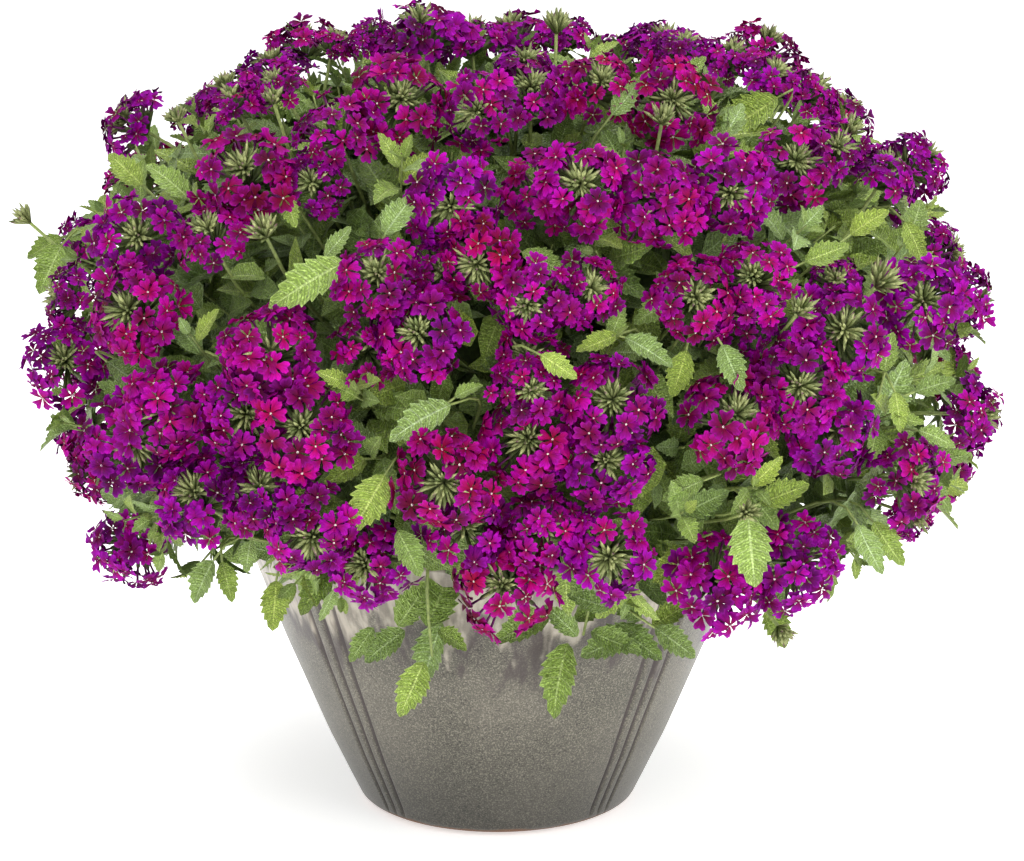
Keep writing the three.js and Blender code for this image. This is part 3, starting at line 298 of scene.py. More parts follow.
outline, outside_rows = pot_outline()
in_grooves = GROOVE_AZIMUTHS[:, None] + np.linspace(-GROOVES_HALF, GROOVES_HALF, GROOVE_COLUMNS)
plain = turns_of(PLAIN_COLUMNS)
plain = plain[turned_from(plain, GROOVE_AZIMUTHS) > GROOVES_HALF]
turn = np.sort(np.concatenate([in_grooves.ravel() % (2 * math.pi), plain]))
groove_lines = (GROOVE_AZIMUTHS[:, None] + GROOVE_PITCH * np.array([-1, 0, 1])).ravel()
pressed = np.exp(-((turned_from(turn, groove_lines) / GROOVE_HALF_WIDTH) ** 2))
is_outside = np.arange(len(outline)) < outside_rows
along_wall = smooth_step(GROOVE_ENDS[0], GROOVE_ENDS[0] + GROOVE_FADE, outline[:, 1]) * is_outside
along_wall *= 1 - smooth_step(GROOVE_ENDS[1] - GROOVE_FADE, GROOVE_ENDS[1], outline[:, 1])
# The groove's depth at each point, which the glaze reads to lie darker there.
groove_share = along_wall[:, None] * pressed
pot_points = round_points(outline[:, :1] - GROOVE_DEPTH * groove_share, turn, outline[:, 1:])


def tint_of(tree):
    """The piece's own colour, from its attribute."""
    return node(tree, "ShaderNodeVertexColor", layer_name="tint").outputs[0]


def emboss(tree, shader, height, strength, depth):
    """Small relief, from a height between 0 and 1 and its depth in metres."""
    bump = node(tree, "ShaderNodeBump", {"Strength": strength, "Distance": depth, "Height": height})
    tree.links.new(bump.outputs[0], shader.inputs["Normal"])


def calc(tree, operation, a, b=0.0, c=0.0):
    """One number from up to three, by a Math node."""
    return node(tree, "ShaderNodeMath", {0: a, 1: b, 2: c}, operation=operation).outputs[0]


def times(tree, a, b):
    """The product of two numbers."""
    return calc(tree, "MULTIPLY", a, b)


def blend(tree, share, a, b, how="MIX"):
    """A colour between two, by a share."""
    made = node(tree, "ShaderNodeMix", {0: share, 6: a, 7: b}, data_type="RGBA", blend_type=how)
    return made.outputs[2]


def shaded(tree, colour, share, low, high):
    """A colour times a grey, which goes from low to high with a share."""
    grey = blend(tree, share, (low, low, low, 1), (high, high, high, 1))
    return blend(tree, 1.0, colour, grey, "MULTIPLY")


def noise(tree, place, scale, detail=2.0, roughness=0.5):
    """Cloudy noise round 0.5."""
    inputs = {"Vector": place, "Scale": scale, "Detail": detail, "Roughness": roughness}
    return node(tree, "ShaderNodeTexNoise", inputs).outputs[0]


def stretched(tree, place, scale):
    """Coordinates scaled along each axis."""
    return node(tree, "ShaderNodeMapping", {"Vector": place, "Scale": scale}).outputs[0]


def glaze_material():
    """Speckled grey glaze with painted shade that darkens it towards the foot, under a pale one that
    runs down in streaks and gathers in brown ends. The glaze lies dark in the grooves, and the foot is
    bare brown clay."""
    material, tree, shader = new_material("ash_glaze", specular_ior_level=0.5)
    place = object_place(tree)
    height = node(tree, "ShaderNodeSeparateXYZ", {0: place}).outputs[2]
    down = stretched(tree, place, (1.0, 1.0, 0.06))
    fine_runs = noise(tree, down, 150.0)
    edge = calc(tree, "MULTIPLY_ADD", noise(tree, down, 42.0, 3.0), 0.16, RUN_HEIGHT)
    edge = calc(tree, "MULTIPLY_ADD", fine_runs, 0.03, edge)
    above = calc(tree, "SUBTRACT", height, edge)
    pale = ramp(tree, above, -0.004, RUN_SPREAD)
    specks = noise(tree, place, 900.0, 2.0, 0.7)
    grey = blend(tree, ramp(tree, specks, 0.47, 0.66), GLAZE_GREY, GLAZE_PALE_SPECK)
    grey = blend(tree, ramp(tree, noise(tree, place, 620.0, 2.0, 0.6), 0.56, 0.70), grey, GLAZE_SPECK)
    clouds = ramp(tree, noise(tree, place, 14.0, 3.0), 0.35, 0.75)
    grey = blend(tree, times(tree, clouds, 0.12), grey, GLAZE_CREAM)
    streaks = blend(tree, ramp(tree, fine_runs, 0.36, 0.66), GLAZE_CREAM, GLAZE_STREAK)
    colour = blend(tree, times(tree, pale, 0.85), grey, streaks)
    brown = times(tree, ramp(tree, above, -0.030, -0.002), ramp(tree, above, -0.004, RUN_SPREAD, 1, 0))
    brown = times(tree, brown, ramp(tree, noise(tree, down, 60.0), 0.40, 0.56))
    colour = blend(tree, times(tree, brown, 0.85), colour, GLAZE_RUN)
    groove = node(tree, "ShaderNodeSeparateColor", {0: tint_of(tree)}).outputs[0]
    colour = blend(tree, times(tree, ramp(tree, groove, 0.15, 0.8), 0.85), colour, GLAZE_RUN)
    # Painted shade: the glaze darkens towards the foot.
    colour = shaded(tree, colour, ramp(tree, height, 0.0, LOW_SHADE_HEIGHT), LOW_SHADE, 1.0)
    foot_edge = calc(tree, "MULTIPLY_ADD", noise(tree, place, 40.0), 0.006, 0.0026)
    foot = ramp(tree, calc(tree, "SUBTRACT", foot_edge, height), -0.001, 0.0015)
    tree.links.new(blend(tree, foot, colour, BARE_FOOT), shader.inputs["Base Color"])
    rough = calc(tree, "MULTIPLY_ADD", foot, 0.4, calc(tree, "MULTIPLY_ADD", specks, 0.2, 0.25))
    tree.links.new(rough, shader.inputs["Roughness"])
    emboss(tree, shader, specks, 0.25, 0.8 * MM)
    return material


glaze = glaze_material()
pot_tint = groove_share[..., None]
pot = make_piece("stoneware_pot", pot_points, glaze, "stoneware", pot_tint, wrap=True, weld=True)
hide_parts("pot")

# ---- The potting mix ---------------------------------------------------------------------------
# Bark and peat, filled to a low crown a finger's width under the rim, and crumbly on top. Paler
# chips of bark show among the dark crumbs.
SOIL_EDGE_HEIGHT = 188 * MM
SOIL_CROWN = np.array([70, 196]) * MM
SOIL_GAP = 0.35 * MM
SOIL_BOTTOM = POT_FLOOR + SOIL_GAP
SOIL_COLUMNS = 150
SOIL_RINGS = 40
CRUMB_HEIGHT = 1.6 * MM
CRUMBS_START = 12 * MM
SOIL_BROWN = (0.030, 0.019, 0.012, 1)
SOIL_LIGHT = (0.12, 0.085, 0.055, 1)


def inside_radius(z):
    """The pot's inner wall, which is straight from the floor to the lip."""
    at_rim = POT_PROFILE[-1, 1] - POT_WALL
    return FLOOR_RADIUS + (at_rim - FLOOR_RADIUS) * (z - POT_FLOOR) / (POT_HEIGHT - POT_FLOOR)


def ripples(points, pitch, seed, waves=14):
    """Noise between -1 and 1: a mean of sine waves of about one pitch, in seeded directions."""
    draw = np.random.default_rng(seed)
    ways = draw.normal(size=(waves, 3))
    ways /= np.linalg.norm(ways, axis=1, keepdims=True)
    pitches = pitch * draw.uniform(0.6, 1.6, waves)
    phases = draw.uniform(0, 2 * math.pi, waves)
    waves_here = np.sin(points @ (ways / pitches[:, None] * 2 * math.pi).T + phases)
    return waves_here.mean(-1) * math.sqrt(waves) / 1.6


soil_edge = inside_radius(SOIL_EDGE_HEIGHT)
soil_reach = np.linspace(0, soil_edge - SOIL_GAP, SOIL_RINGS)[:, None]
# A flat crown, then a straight fall to the pot's wall.
soil_height = np.interp(soil_reach, [SOIL_CROWN[0], soil_edge], [SOIL_CROWN[1], SOIL_EDGE_HEIGHT])
soil_top = round_points(soil_reach, turns_of(SOIL_COLUMNS), soil_height)
crumbs = ripples(soil_top, 9 * MM, 3) + 0.6 * ripples(soil_top, 4 * MM, 4)
soil_top[..., 2] += CRUMB_HEIGHT * crumbs * smooth_step(0, CRUMBS_START, soil_reach)
low_ring = round_points(inside_radius(SOIL_BOTTOM) - SOIL_GAP, turns_of(SOIL_COLUMNS), SOIL_BOTTOM)
soil_points = np.concatenate([[low_ring * (0, 0, 1), low_ring], soil_top[::-1]])


def soil_material():
    """Dark crumbs with a few lighter chips of bark."""
    material, tree, shader = new_material("potting_mix", roughness=0.95)
    chips = node(tree, "ShaderNodeTexVoronoi", {"Vector": object_place(tree), "Scale": 210.0})
    light = node(tree, "ShaderNodeSeparateColor", {0: chips.outputs["Color"]}).outputs[0]
    colour = blend(tree, ramp(tree, light, 0.8, 0.95), SOIL_BROWN, SOIL_LIGHT)
    tree.links.new(colour, shader.inputs["Base Color"])
    emboss(tree, shader, chips.outputs[0], 0.8, 2 * MM)
    return material


soil = make_piece("crumbly_soil", soil_points, soil_material(), "potting_mix", wrap=True, weld=True)
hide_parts("soil")

# ---- The flower heads' places ------------------------------------------------------------------
# Domed heads stand all round a rounded mound. Each row is a head in millimetres, as it is seen
# from the front: across, up, radius, colour, turned across, turned up and, for some, set back. The
# solids give the place that a head has settled in.
MOUND_CENTRE = np.array([12.0, 0.0, 300.0]) * MM
MOUND_REACH = np.array([315.0, 285.0]) * MM
MOUND_ABOVE = 246 * MM
MOUND_BELOW = 140 * MM
MOUND_POWER = 2.5
SIGHT_SEARCH = np.arange(-420, 221, 2) * MM
LEAST_FACING = 0.02
GOLDEN = 0.618034
GOLDEN_TURN = 2.399963
PLASTIC = (0.7548776662, 0.569840291)
FRONT_HEADS = [
    [-54, 275, 30, "P", 0, 0.85], [-66, 240, 32, "R", 0.09, 0.2], [-31, 219, 27, "M", -0.47, 0.1],
    [-112, 216, 29, "M", -0.1, 0.7], [-108, 272, 17, "P", -0.2, 0.9], [-133, 268, 16, "M", 0.1, 0.9],
    [-152, 242, 20, "M", -0.5, 0.75], [-203, 223, 19, "M", -0.5, 0.7], [-262, 212, 26, "P", -0.85, 0.4],
    [-187, 184, 34, "R", -0.04, 0.3], [-260, 140, 31, "P", -0.04, 0.18],
    [-213, 126, 27, "M", -0.2, 0.5], [-262, 76, 32, "R", -0.3, 0.2], [-308, 98, 22, "P", -0.9, 0.1],
    [-313, 39, 29, "P", 0.07, 0.24], [-159, 60, 34, "M", 0, 0.25], [-96, 111, 29, "M", -0.2, 0.4],
    [-131, 172, 23, "P", 0, 0.3, 25], [-35, 163, 31, "P", 0.04, -0.13],
    [-57, 109, 22, "M", 0.2, 0.2, 22], [-20, 116, 29, "R", -0.31, -0.24],
    [-52, 62, 32, "M", -0.13, -0.07], [-101, 51, 25, "R", 0, 0.2, 25], [7, 256, 21, "P", 0.2, 0.85],
    [6, 230, 27, "M", 0, 0.5], [55, 235, 28, "R", 0.1, 0.5], [98, 270, 20, "P", 0.1, 0.9],
    [142, 261, 21, "P", 0.3, 0.85], [177, 245, 22, "P", 0.5, 0.8], [119, 223, 31, "R", 0.07, 0.16],
    [223, 230, 19, "M", 0.6, 0.7], [156, 168, 31, "M", 0.07, -0.1], [191, 186, 29, "M", 0.2, 0.5, 20],
    [221, 196, 22, "P", 0.4, 0.6, 10], [263, 174, 25, "P", 0.6, 0.7], [104, 161, 32, "M", 0.17, 0.11],
    [49, 168, 31, "M", -0.09, 0.27], [11, 167, 27, "M", 0, 0.35, 12], [175, 111, 29, "M", 0, 0.2],
    [118, 89, 29, "R", 0, 0.3], [226, 109, 18, "P", 0, 0.3, 22], [287, 90, 31, "P", 0.1, -0.1],
    [170, 76, 24, "P", 0, 0.1, 30], [20, 88, 29, "M", -0.29, -0.4], [65, 93, 25, "M", 0.1, 0.3],
    [230, 69, 31, "P", 0.1, 0.1], [6, 56, 24, "R", 0, 0, 28], [7, 27, 26, "M", 0, 0.1],
    [-236, 14, 33, "M", 0.06, -0.04], [-187, 14, 31, "P", 0.2, 0.04, 12],
    [-140, 4, 34, "R", -0.04, 0.2], [-271, -12, 32, "P", 0.1, -0.07, 10],
    [-220, -42, 33, "P", -0.25, 0.25], [-183, -42, 27, "P", 0, 0.5, 10],
    [-136, -70, 32, "M", -0.07, -0.4], [-91, -94, 31, "P", -0.27, 0.1],
    [-267, -82, 29, "P", -0.7, -0.45], [-57, -24, 35, "R", -0.04, -0.06],
    [-43, -66, 29, "P", 0, 0.24, 20], [-5, -103, 35, "R", 0, 0.06], [9, -8, 34, "R", -0.2, -0.16, 10],
    [76, 18, 32, "M", 0.1, 0], [69, -26, 31, "P", 0, -0.04, 10], [147, 0, 35, "R", 0.06, 0.2],
    [195, 25, 31, "M", -0.07, -0.11], [225, -10, 31, "P", 0, -0.11, 8], [274, -31, 29, "M", 0.5, 0],
    [279, -62, 18, "M", 0.5, -0.3], [319, 11, 26, "P", 0.9, 0], [17, -76, 27, "M", 0.1, 0.1, 22],
    [73, -87, 31, "P", -0.04, -0.16], [137, -108, 34, "M", 0.08, 0.1], [204, -92, 31, "P", 0.1, 0],
]
BACK_HEADS = 30
BACK_HEAD_RADII = (23, 31)
BACK_COLOURS = "PMRPM"
BACK_TRIES = 500
BACK_TURNS = (-0.03, 1.03)
BACK_RISES = (-0.27, 0.95)
SMALL_HEAD = 29.5
MORE_HEADS = 43
MORE_TURNS = (-0.07, 1.07)
MORE_RISES = (-0.27, 1.5)
MORE_HEAD_RADII = (21, 27)
MORE_HEADS_LEVEL = 0.95
AXIS_TILT = 0.13
DOME_HEIGHT = 0.78
CORNER_LEVEL = 0.82
FLORET_LEVEL = 0.9
RING_POLARS = np.radians([24, 52, 81, 114])
MOST_SHIFT = 90 * MM
VOTE_CELL = 0.2 * MM


def unit(v):
    """Directions of length one."""
    return v / np.linalg.norm(v, axis=-1, keepdims=True)


def mound_level(p):
    """How far out of the mound points lie, 1 on its surface: a blown-up ellipsoid's norm."""
    off = np.abs(p - MOUND_CENTRE)
    tall = np.where(p[..., 2] > MOUND_CENTRE[2], MOUND_ABOVE, MOUND_BELOW)
    shares = np.stack([off[..., 0] / MOUND_REACH[0], off[..., 1] / MOUND_REACH[1], off[..., 2] / tall])
    return (shares**MOUND_POWER).sum(0) ** (1 / MOUND_POWER)


def mound_normal(p):
    """The way out of the mound: the level's gradient by central differences."""
    step = 0.5 * MM * np.eye(3)
    return unit(np.stack([mound_level(p + s) - mound_level(p - s) for s in step], -1))


def seen_on_mound(across, up, set_back=0):
    """The mound's point on a line of sight, in metres, and its scale against the aimed-at plane."""
    on_plane = AIM + across * MM * np.array([1.0, 0, 0]) + up * MM * SIGHT_UP
    sight = unit(on_plane - EYE)
    away = np.linalg.norm(on_plane - EYE) + SIGHT_SEARCH
    levels = mound_level(EYE + away[:, None] * sight)
    inside = np.nonzero(levels <= 1)[0]
    at = away[inside[0] if len(inside) else levels.argmin()] + set_back * MM
    return EYE + at * sight, at / EYE_DISTANCE


def out_on_mound(azimuth, rise):
    """The mound's points at azimuths and rises from its centre, and the ways out to them."""
    ways = round_points(np.cos(rise), azimuth, np.sin(rise))
    return MOUND_CENTRE + ways * (MM / mound_level(MOUND_CENTRE + ways * MM))[..., None], ways


def between(ends, way):
    """A value part of the way from one end to the other."""
    return ends[0] + (ends[1] - ends[0]) * way


def scattered(count, turns, rises):
    """Evenly scattered azimuths, between two shares of half a turn, and rises, by the rule of the
    plastic number."""
    order = np.arange(count)
    shares = [(0.5 + order * step) % 1 for step in PLASTIC]
    return math.pi * between(turns, shares[0]), between(rises, shares[1])


def nearer_centre(points, level):
    """Points moved towards the mound's centre, to a level of their way out."""
    return MOUND_CENTRE + (points - MOUND_CENTRE) * level


def square_frames(ways, spins):
    """For each way, two directions square to it, turned about it by a spin."""
    helper = np.where(np.abs(ways[..., 2:]) < 0.9, (0.0, 0, 1), (1.0, 0, 0))
    first = unit(np.cross(helper, ways))
    second = np.cross(ways, first)
    cosine, sine = np.cos(spins)[..., None], np.sin(spins)[..., None]
    return first * cosine + second * sine, second * cosine - first * sine


def front_heads():
    """Heads from the table: place, radius, colour letter and the way that they face."""
    for across, up, radius, colour, turn_across, turn_up, *set_back in FRONT_HEADS:
        point, scale = seen_on_mound(across, up, *set_back)
        facing = math.sqrt(max(LEAST_FACING, 1 - turn_across**2 - turn_up**2))
        axis = unit(np.array([turn_across, 0, 0]) + turn_up * SIGHT_UP + facing * TO_EYE)
        yield {"point": point, "radius": radius * scale * MM, "colour": colour, "axis": axis}


def back_heads(front, count, radii, turns, rises):
    """Heads of the sides and back. Of many evenly scattered tries, each takes the one that is
    furthest from the heads before it."""
    tries = out_on_mound(*scattered(BACK_TRIES, turns, rises))[0]
    room = np.min([np.linalg.norm(tries - head["point"], axis=1) for head in front], axis=0)
    for i in range(count):
        point = tries[np.argmax(room > room.max() - 1e-9)]
        room = np.minimum(room, np.linalg.norm(tries - point, axis=1))
        radius = between(radii, i * GOLDEN % 1) * MM
        colour = BACK_COLOURS[i % len(BACK_COLOURS)]
        yield {"point": point, "radius": radius, "colour": colour, "axis": mound_normal(point)}


def on_level(points, level):
    """Points moved along their radius to a level of the flattened dome."""
    size = np.linalg.norm(points / (1, 1, DOME_HEIGHT), axis=-1, keepdims=True)
    return points * level / size


def dome_corners(sides):
    """The corners and floret middles of a plain dome head, as shares of its radius."""
    azimuth = (np.arange(sides) + np.array([0, 0, 0.5, 0.5])[:, None]) * 2 * math.pi / sides
    polar = RING_POLARS[:, None]
    rings = round_points(np.sin(polar), azimuth, DOME_HEIGHT * np.cos(polar))
    top, upper, lower, bottom = on_level(rings, CORNER_LEVEL)
    after = np.roll(np.arange(sides), -1)
    inner = (top[after] + top + upper + lower + upper[after]) / 5
    outer = (upper[after] + lower + bottom + bottom[after] + lower[after]) / 5
    middles = on_level(np.concatenate([inner, outer]), FLORET_LEVEL)
    return np.concatenate([top, upper, lower, bottom, middles])


def settle_in_node(head, points):
    """The commonest of the shifts that take a head's corners onto the solids' points, and the
    points that it meets."""
    local = dome_corners(head["sides"]) * head["radius"]
    corners = head["point"] + local @ np.stack([head["first"], head["second"], head["axis"]])
    shifts = (points[None] - corners[:, None]).reshape(-1, 3)
    shifts = shifts[np.linalg.norm(shifts, axis=1) < MOST_SHIFT]
    cells, votes = np.unique(np.round(shifts / VOTE_CELL).astype(int), axis=0, return_counts=True)
    best = cells[votes.argmax()] * VOTE_CELL
    shift = shifts[np.linalg.norm(shifts - best, axis=1) < 1.5 * VOTE_CELL].mean(0)
    matched = np.linalg.norm(points[None] - (corners + shift)[:, None], axis=2) < VOTE_CELL
    return shift, np.nonzero(matched.any(0))[0]


def node_corners(start):
    """The names of the CAD nodes whose names start alike, and the corners of each."""
    names = sorted(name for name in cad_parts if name.startswith(start))
    corners = []
    for name in names:
        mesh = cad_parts[name].data
        flat = np.zeros(len(mesh.vertices) * 3, np.float32)
        mesh.vertices.foreach_get("co", flat)
        corners.append(np.unique(flat.reshape(-1, 3).astype(float).round(7), axis=0))
    return names, corners


heads = list(front_heads())
heads += list(back_heads(heads, BACK_HEADS, BACK_HEAD_RADII, BACK_TURNS, BACK_RISES))
bunch_names, bunch_points = node_corners("flower_heads")
point_bunch = np.repeat(np.arange(len(bunch_names)), [len(points) for points in bunch_points])
for i, head in enumerate(heads):
    head["sides"] = 4 if i < len(FRONT_HEADS) and FRONT_HEADS[i][2] > SMALL_HEAD else 3
    head["first"], head["second"] = square_frames(head["axis"], i * GOLDEN_TURN)
    shift, matched = settle_in_node(head, np.concatenate(bunch_points))
    head["point"] = head["point"] + shift
    head["bunch"] = int(np.bincount(point_bunch[matched]).argmax())

# Smaller heads stand lower among the leaves, between the others at the sides, the back and the top.
for head in back_heads(heads, MORE_HEADS, MORE_HEAD_RADII, MORE_TURNS, MORE_RISES):
    point = nearer_centre(head["point"], MORE_HEADS_LEVEL)
    heads.append({**head, "point": point, "sides": 3, "bunch": len(bunch_names)})
# A head's florets open unevenly, so its middle leans a little off the stalk.
draw = np.random.default_rng(41)
for i, head in enumerate(heads):
    head["axis"] = unit(head["axis"] + draw.normal(0, AXIS_TILT, 3))
    head["first"], head["second"] = square_frames(head["axis"], i * GOLDEN_TURN)

# ---- The florets -------------------------------------------------------------------------------
# A floret is a narrow tube that opens flat into five notched petals round a tiny white eye. They
# stand in rings on the dome of each head, velvety, deep purple, magenta or crimson.
PETALS = 5
FLORET_RINGS = {4: ((39, 8), (63, 12), (87, 12)), 3: ((40, 7), (66, 10), (90, 9))}
FLORET_SHARE = 0.335
LONGEST_PETAL = 10.6 * MM
HEAD_SPREAD = 0.97
LEVEL_JITTER = 0.065
RING_TURN = 0.4
RING_JITTER = (0.12, 0.20)
FLORET_SIZES = (0.84, 1.12)
FACE_UP = 0.45
FACE_JITTER = 0.34
MISSING_SHARE = 0.07
OPEN_MIDDLES = 0.22
MIDDLE_RING = (13, 3)
PETAL_ROWS = np.array([0.015, 0.5, 1.0])
PETAL_COLUMNS = np.array([-1, -0.76, -0.4, 0, 0.4, 0.76, 1])
PETAL_SPREAD = ([0, 0.5, 1.0], np.radians([30, 27, 33]))
NOTCH = (0.23, 0.27)
PETAL_ROUNDING = 0.34
PETAL_LENGTHS = (0.88, 1.10)
PETAL_SKEW = 0.09
PETAL_CREASE = 0.07
# Crimson, magenta and purple, and each head's place on the way between them.
PETAL_COLOURS = np.array([[0.310, 0.000, 0.060], [0.370, 0.000, 0.225], [0.250, 0.000, 0.275]])
PETAL_DEEP = (0.70, 0.5, 0.25, 1)
PETAL_EDGE = (0.55, 0.01, 0.60, 1)
PETAL_EYE = (0.78, 0.74, 0.66, 1)
HEAD_HUES = {"R": 0.76, "M": 1.30, "P": 1.74}
HUE_JITTER = 0.12
FLORET_HUES = 0.30
FLORET_SHADES = (0.28, 1.14)
PETAL_SHADES = (0.82, 1.18)
PETAL_SLOTS = {"P": "petals_purple", "M": "petals_magenta", "R": "petals_crimson"}


def on_dome(head, polar, azimuth, level):
    """Points and ways out on a head's flattened dome, in the head's own frame of directions."""
    local = round_points(np.sin(polar), azimuth, DOME_HEIGHT * np.cos(polar))
    ways = round_points(np.sin(polar), azimuth, np.cos(polar))
    axes = np.stack([head["first"], head["second"], head["axis"]])
    return head["point"] + local * level * head["radius"] @ axes, ways @ axes


def ring_florets(head):
    """Floret middles, facings and sizes: rings at set polar angles, each turned from the last."""
    polars, turns = [], []
    head["is_open"] = draw.uniform() < OPEN_MIDDLES
    rings = FLORET_RINGS[head["sides"]] + ((MIDDLE_RING,) if head["is_open"] else ())
    for ring, (polar, count) in enumerate(rings):
        polars += [math.radians(polar)] * count
        turns += [(i + 0.5 * ring) * 2 * math.pi / count + ring * RING_TURN for i in range(count)]
    polar = np.array(polars) + draw.normal(0, RING_JITTER[0], len(polars))
    azimuth = np.array(turns) + draw.normal(0, RING_JITTER[1], len(polars))
    open_now = draw.uniform(0, 1, len(polar)) > MISSING_SHARE
    polar, azimuth = polar[open_now], azimuth[open_now]
    level = HEAD_SPREAD + draw.normal(0, LEVEL_JITTER, (len(polar), 1))
    middles, ways = on_dome(head, polar, azimuth, level)
    facing = unit(ways + FACE_UP * head["axis"] + draw.normal(0, FACE_JITTER, ways.shape))
    longest = min(LONGEST_PETAL, FLORET_SHARE * head["radius"])
    return middles, facing, longest * draw.uniform(*FLORET_SIZES, len(polar))


def placed_grids(local, axes, bases):
    """Grids of points in their own frames of directions, moved to their bases."""
    flat = local.reshape(len(local), -1, 3)
    return (flat @ np.stack(axes, 1) + bases[:, None]).reshape(local.shape)


def petal_sheets(middles, facing, size):
    """Five petals a floret, on grids of radius r and side v. A petal spans an angle that narrows
    and widens with r, its reach is shortened by a notch at v = 0 and rounded off at v = 1, and it
    rises from the throat, then curves back with the square of r."""
    count = len(size)
    each = (count, PETALS, 1, 1)
    r = PETAL_ROWS[:, None]
    v = PETAL_COLUMNS
    edge = 1 - NOTCH[0] * np.exp(-((v / NOTCH[1]) ** 2)) - PETAL_ROUNDING * v**4
    reach = r * (1 - (1 - edge) * r**2) * draw.uniform(*PETAL_LENGTHS, each)
    middle = turns_of(PETALS)[:, None, None] + draw.normal(0, PETAL_SKEW, each)
    angle = middle + v * np.interp(r, *PETAL_SPREAD)
    cup = draw.normal(0.15, 0.15, (count, 1, 1, 1)) + draw.normal(0, 0.14, each)
    ruffle = draw.normal(0, 0.08, each) * np.sin(math.pi * v) * r
    fold = draw.normal(0.05, 0.09, each) * v**2 * r
    rise = 0.10 * (1 - np.exp(-r / 0.12)) - cup * r**2 - fold + ruffle + PETAL_CREASE * np.abs(v) * r
    first, second = square_frames(facing, draw.uniform(0, 2 * math.pi, count))
    local = round_points(reach, angle, rise) * size[:, None, None, None, None]
    uv = np.stack(np.broadcast_arrays(0.5 + 0.5 * v, r), -1)
    points = placed_grids(local, (first, second, facing), middles)
    return points, np.broadcast_to(uv, (*points.shape[:4], 2))


def floret_colours(hue, count):
    """A colour for each floret of a head: a place on the way between the petal colours, scattered
    round the head's own, times a shade."""
    hues = (hue + draw.normal(0, FLORET_HUES, count)).clip(0, 2)
    mixed = [np.interp(hues, [0, 1, 2], channel) for channel in PETAL_COLOURS.T]
    return np.stack(mixed, 1) * draw.uniform(*FLORET_SHADES, (count, 1))


def surface_place(tree):
    """The place on a blade, across and out from 0 to 1, and its two parts."""
    surface = node(tree, "ShaderNodeUVMap", uv_map="surface").outputs[0]
    return surface, *node(tree, "ShaderNodeSeparateXYZ", {0: surface}).outputs[:2]


def petal_material(slot):
    """Velvet petals: a white eye, deep red round it, and fine streaks out to a brighter edge."""
    material, tree, shader = new_material(slot, roughness=0.6, specular_ior_level=0.08)
    surface, _, out = surface_place(tree)
    streaks = noise(tree, stretched(tree, surface, (13.0, 1.6, 1.0)), 1.0)
    streaked = shaded(tree, tint_of(tree), ramp(tree, streaks, 0.3, 0.7), 0.70, 1.18)
    deep = blend(tree, 1.0, streaked, PETAL_DEEP, "MULTIPLY")
    colour = blend(tree, ramp(tree, out, 0.15, 0.85), deep, streaked)
    colour = blend(tree, times(tree, ramp(tree, out, 0.70, 1.0), 0.18), colour, PETAL_EDGE)
    colour = blend(tree, ramp(tree, out, 0.05, 0.085, 1, 0), colour, PETAL_EYE)
    tree.links.new(colour, shader.inputs["Base Color"])
    emboss(tree, shader, streaks, 0.25, 0.3 * MM)
    return material


petal_materials = {letter: petal_material(slot) for letter, slot in PETAL_SLOTS.items()}
for bunch, name in enumerate([*bunch_names, "small"]):
    members = [head for head in heads if head["bunch"] == bunch]
    for head in members:
        head["middles"], head["facing"], head["size"] = ring_florets(head)
        hue = HEAD_HUES[head["colour"]] + draw.normal(0, HUE_JITTER)
        head["tint"] = floret_colours(hue, len(head["size"]))
    middles, facing, size, tints = (
        np.concatenate([head[key] for head in members]) for key in ("middles", "facing", "size", "tint")
    )
    points, uv = petal_sheets(middles, facing, size)
    tint = tints[:, None, None, None] * draw.uniform(*PETAL_SHADES, (len(size), PETALS, 1, 1, 1))
    letter = members[0]["colour"]
    piece_name = "small_blooms" if name == "small" else "blooms_" + name[-2:]
    blooms = make_piece(piece_name, points, petal_materials[letter], PETAL_SLOTS[letter], tint, uv)
    if name != "small":
        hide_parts(name)

# ---- Calyxes and buds --------------------------------------------------------------------------
# Every floret's tube comes out of a slim green calyx, and all of them spring from one point. In
# the middle of a head, and all over a head that hasn't opened, there are only pointed buds.
HUB = -0.30
CALYX_PROFILE = ([0, 0.64, 0.70, 1.0], np.array([0.9, 1.7, 0.8, 1.1]) * MM)
BUD_PROFILE = ([0, 0.72, 1.0], np.array([0.9, 1.25, 0]) * MM)
TAPER_SIDES = 3
CENTRE_BUDS = 40
CENTRE_POLARS = np.radians([24, 36])
CENTRE_LEVEL = 0.98
CENTRE_HUB = 0.34
OPEN_BUDS = 12
BUD_JITTER = 1.8 * MM
CLOSED_BUDS = 34
CLOSED_POLAR = math.radians(86)
CLOSED_HUB = -0.9
CALYX_GREEN = (0.13, 0.17, 0.055)
TUBE_PURPLE = (0.16, 0.01, 0.13)
BUD_GREENS = np.array([(0.12, 0.155, 0.045), (0.40, 0.43, 0.18)])
BUD_PURPLE = (0.17, 0.02, 0.12)
PURPLE_TIPS = 0.15
BUD_STANDS_OUT = 12 * MM
BUD_LOOKS_UP = np.array([0, 0, 0.6])
# Heads that haven't opened: across, up, radius.
BUD_HEADS = [
    [-334, 142, 9], [-165, 223, 8], [31, 275, 11], [104, 210, 9], [233, 203, 9], [-171, 133, 12],
    [254, 100, 14], [198, 79, 10], [161, -59, 9], [184, -133, 9], [-231, 210, 7],
]


def rings_round(centres, first, second, radii, sides):
    """Rings of points round centre lines, in two directions square to them."""
    turn = turns_of(sides)[:, None]
    ring = first[:, :, None] * np.cos(turn) + second[:, :, None] * np.sin(turn)
    return centres[:, :, None] + ring * np.asarray(radii)[:, None, None]


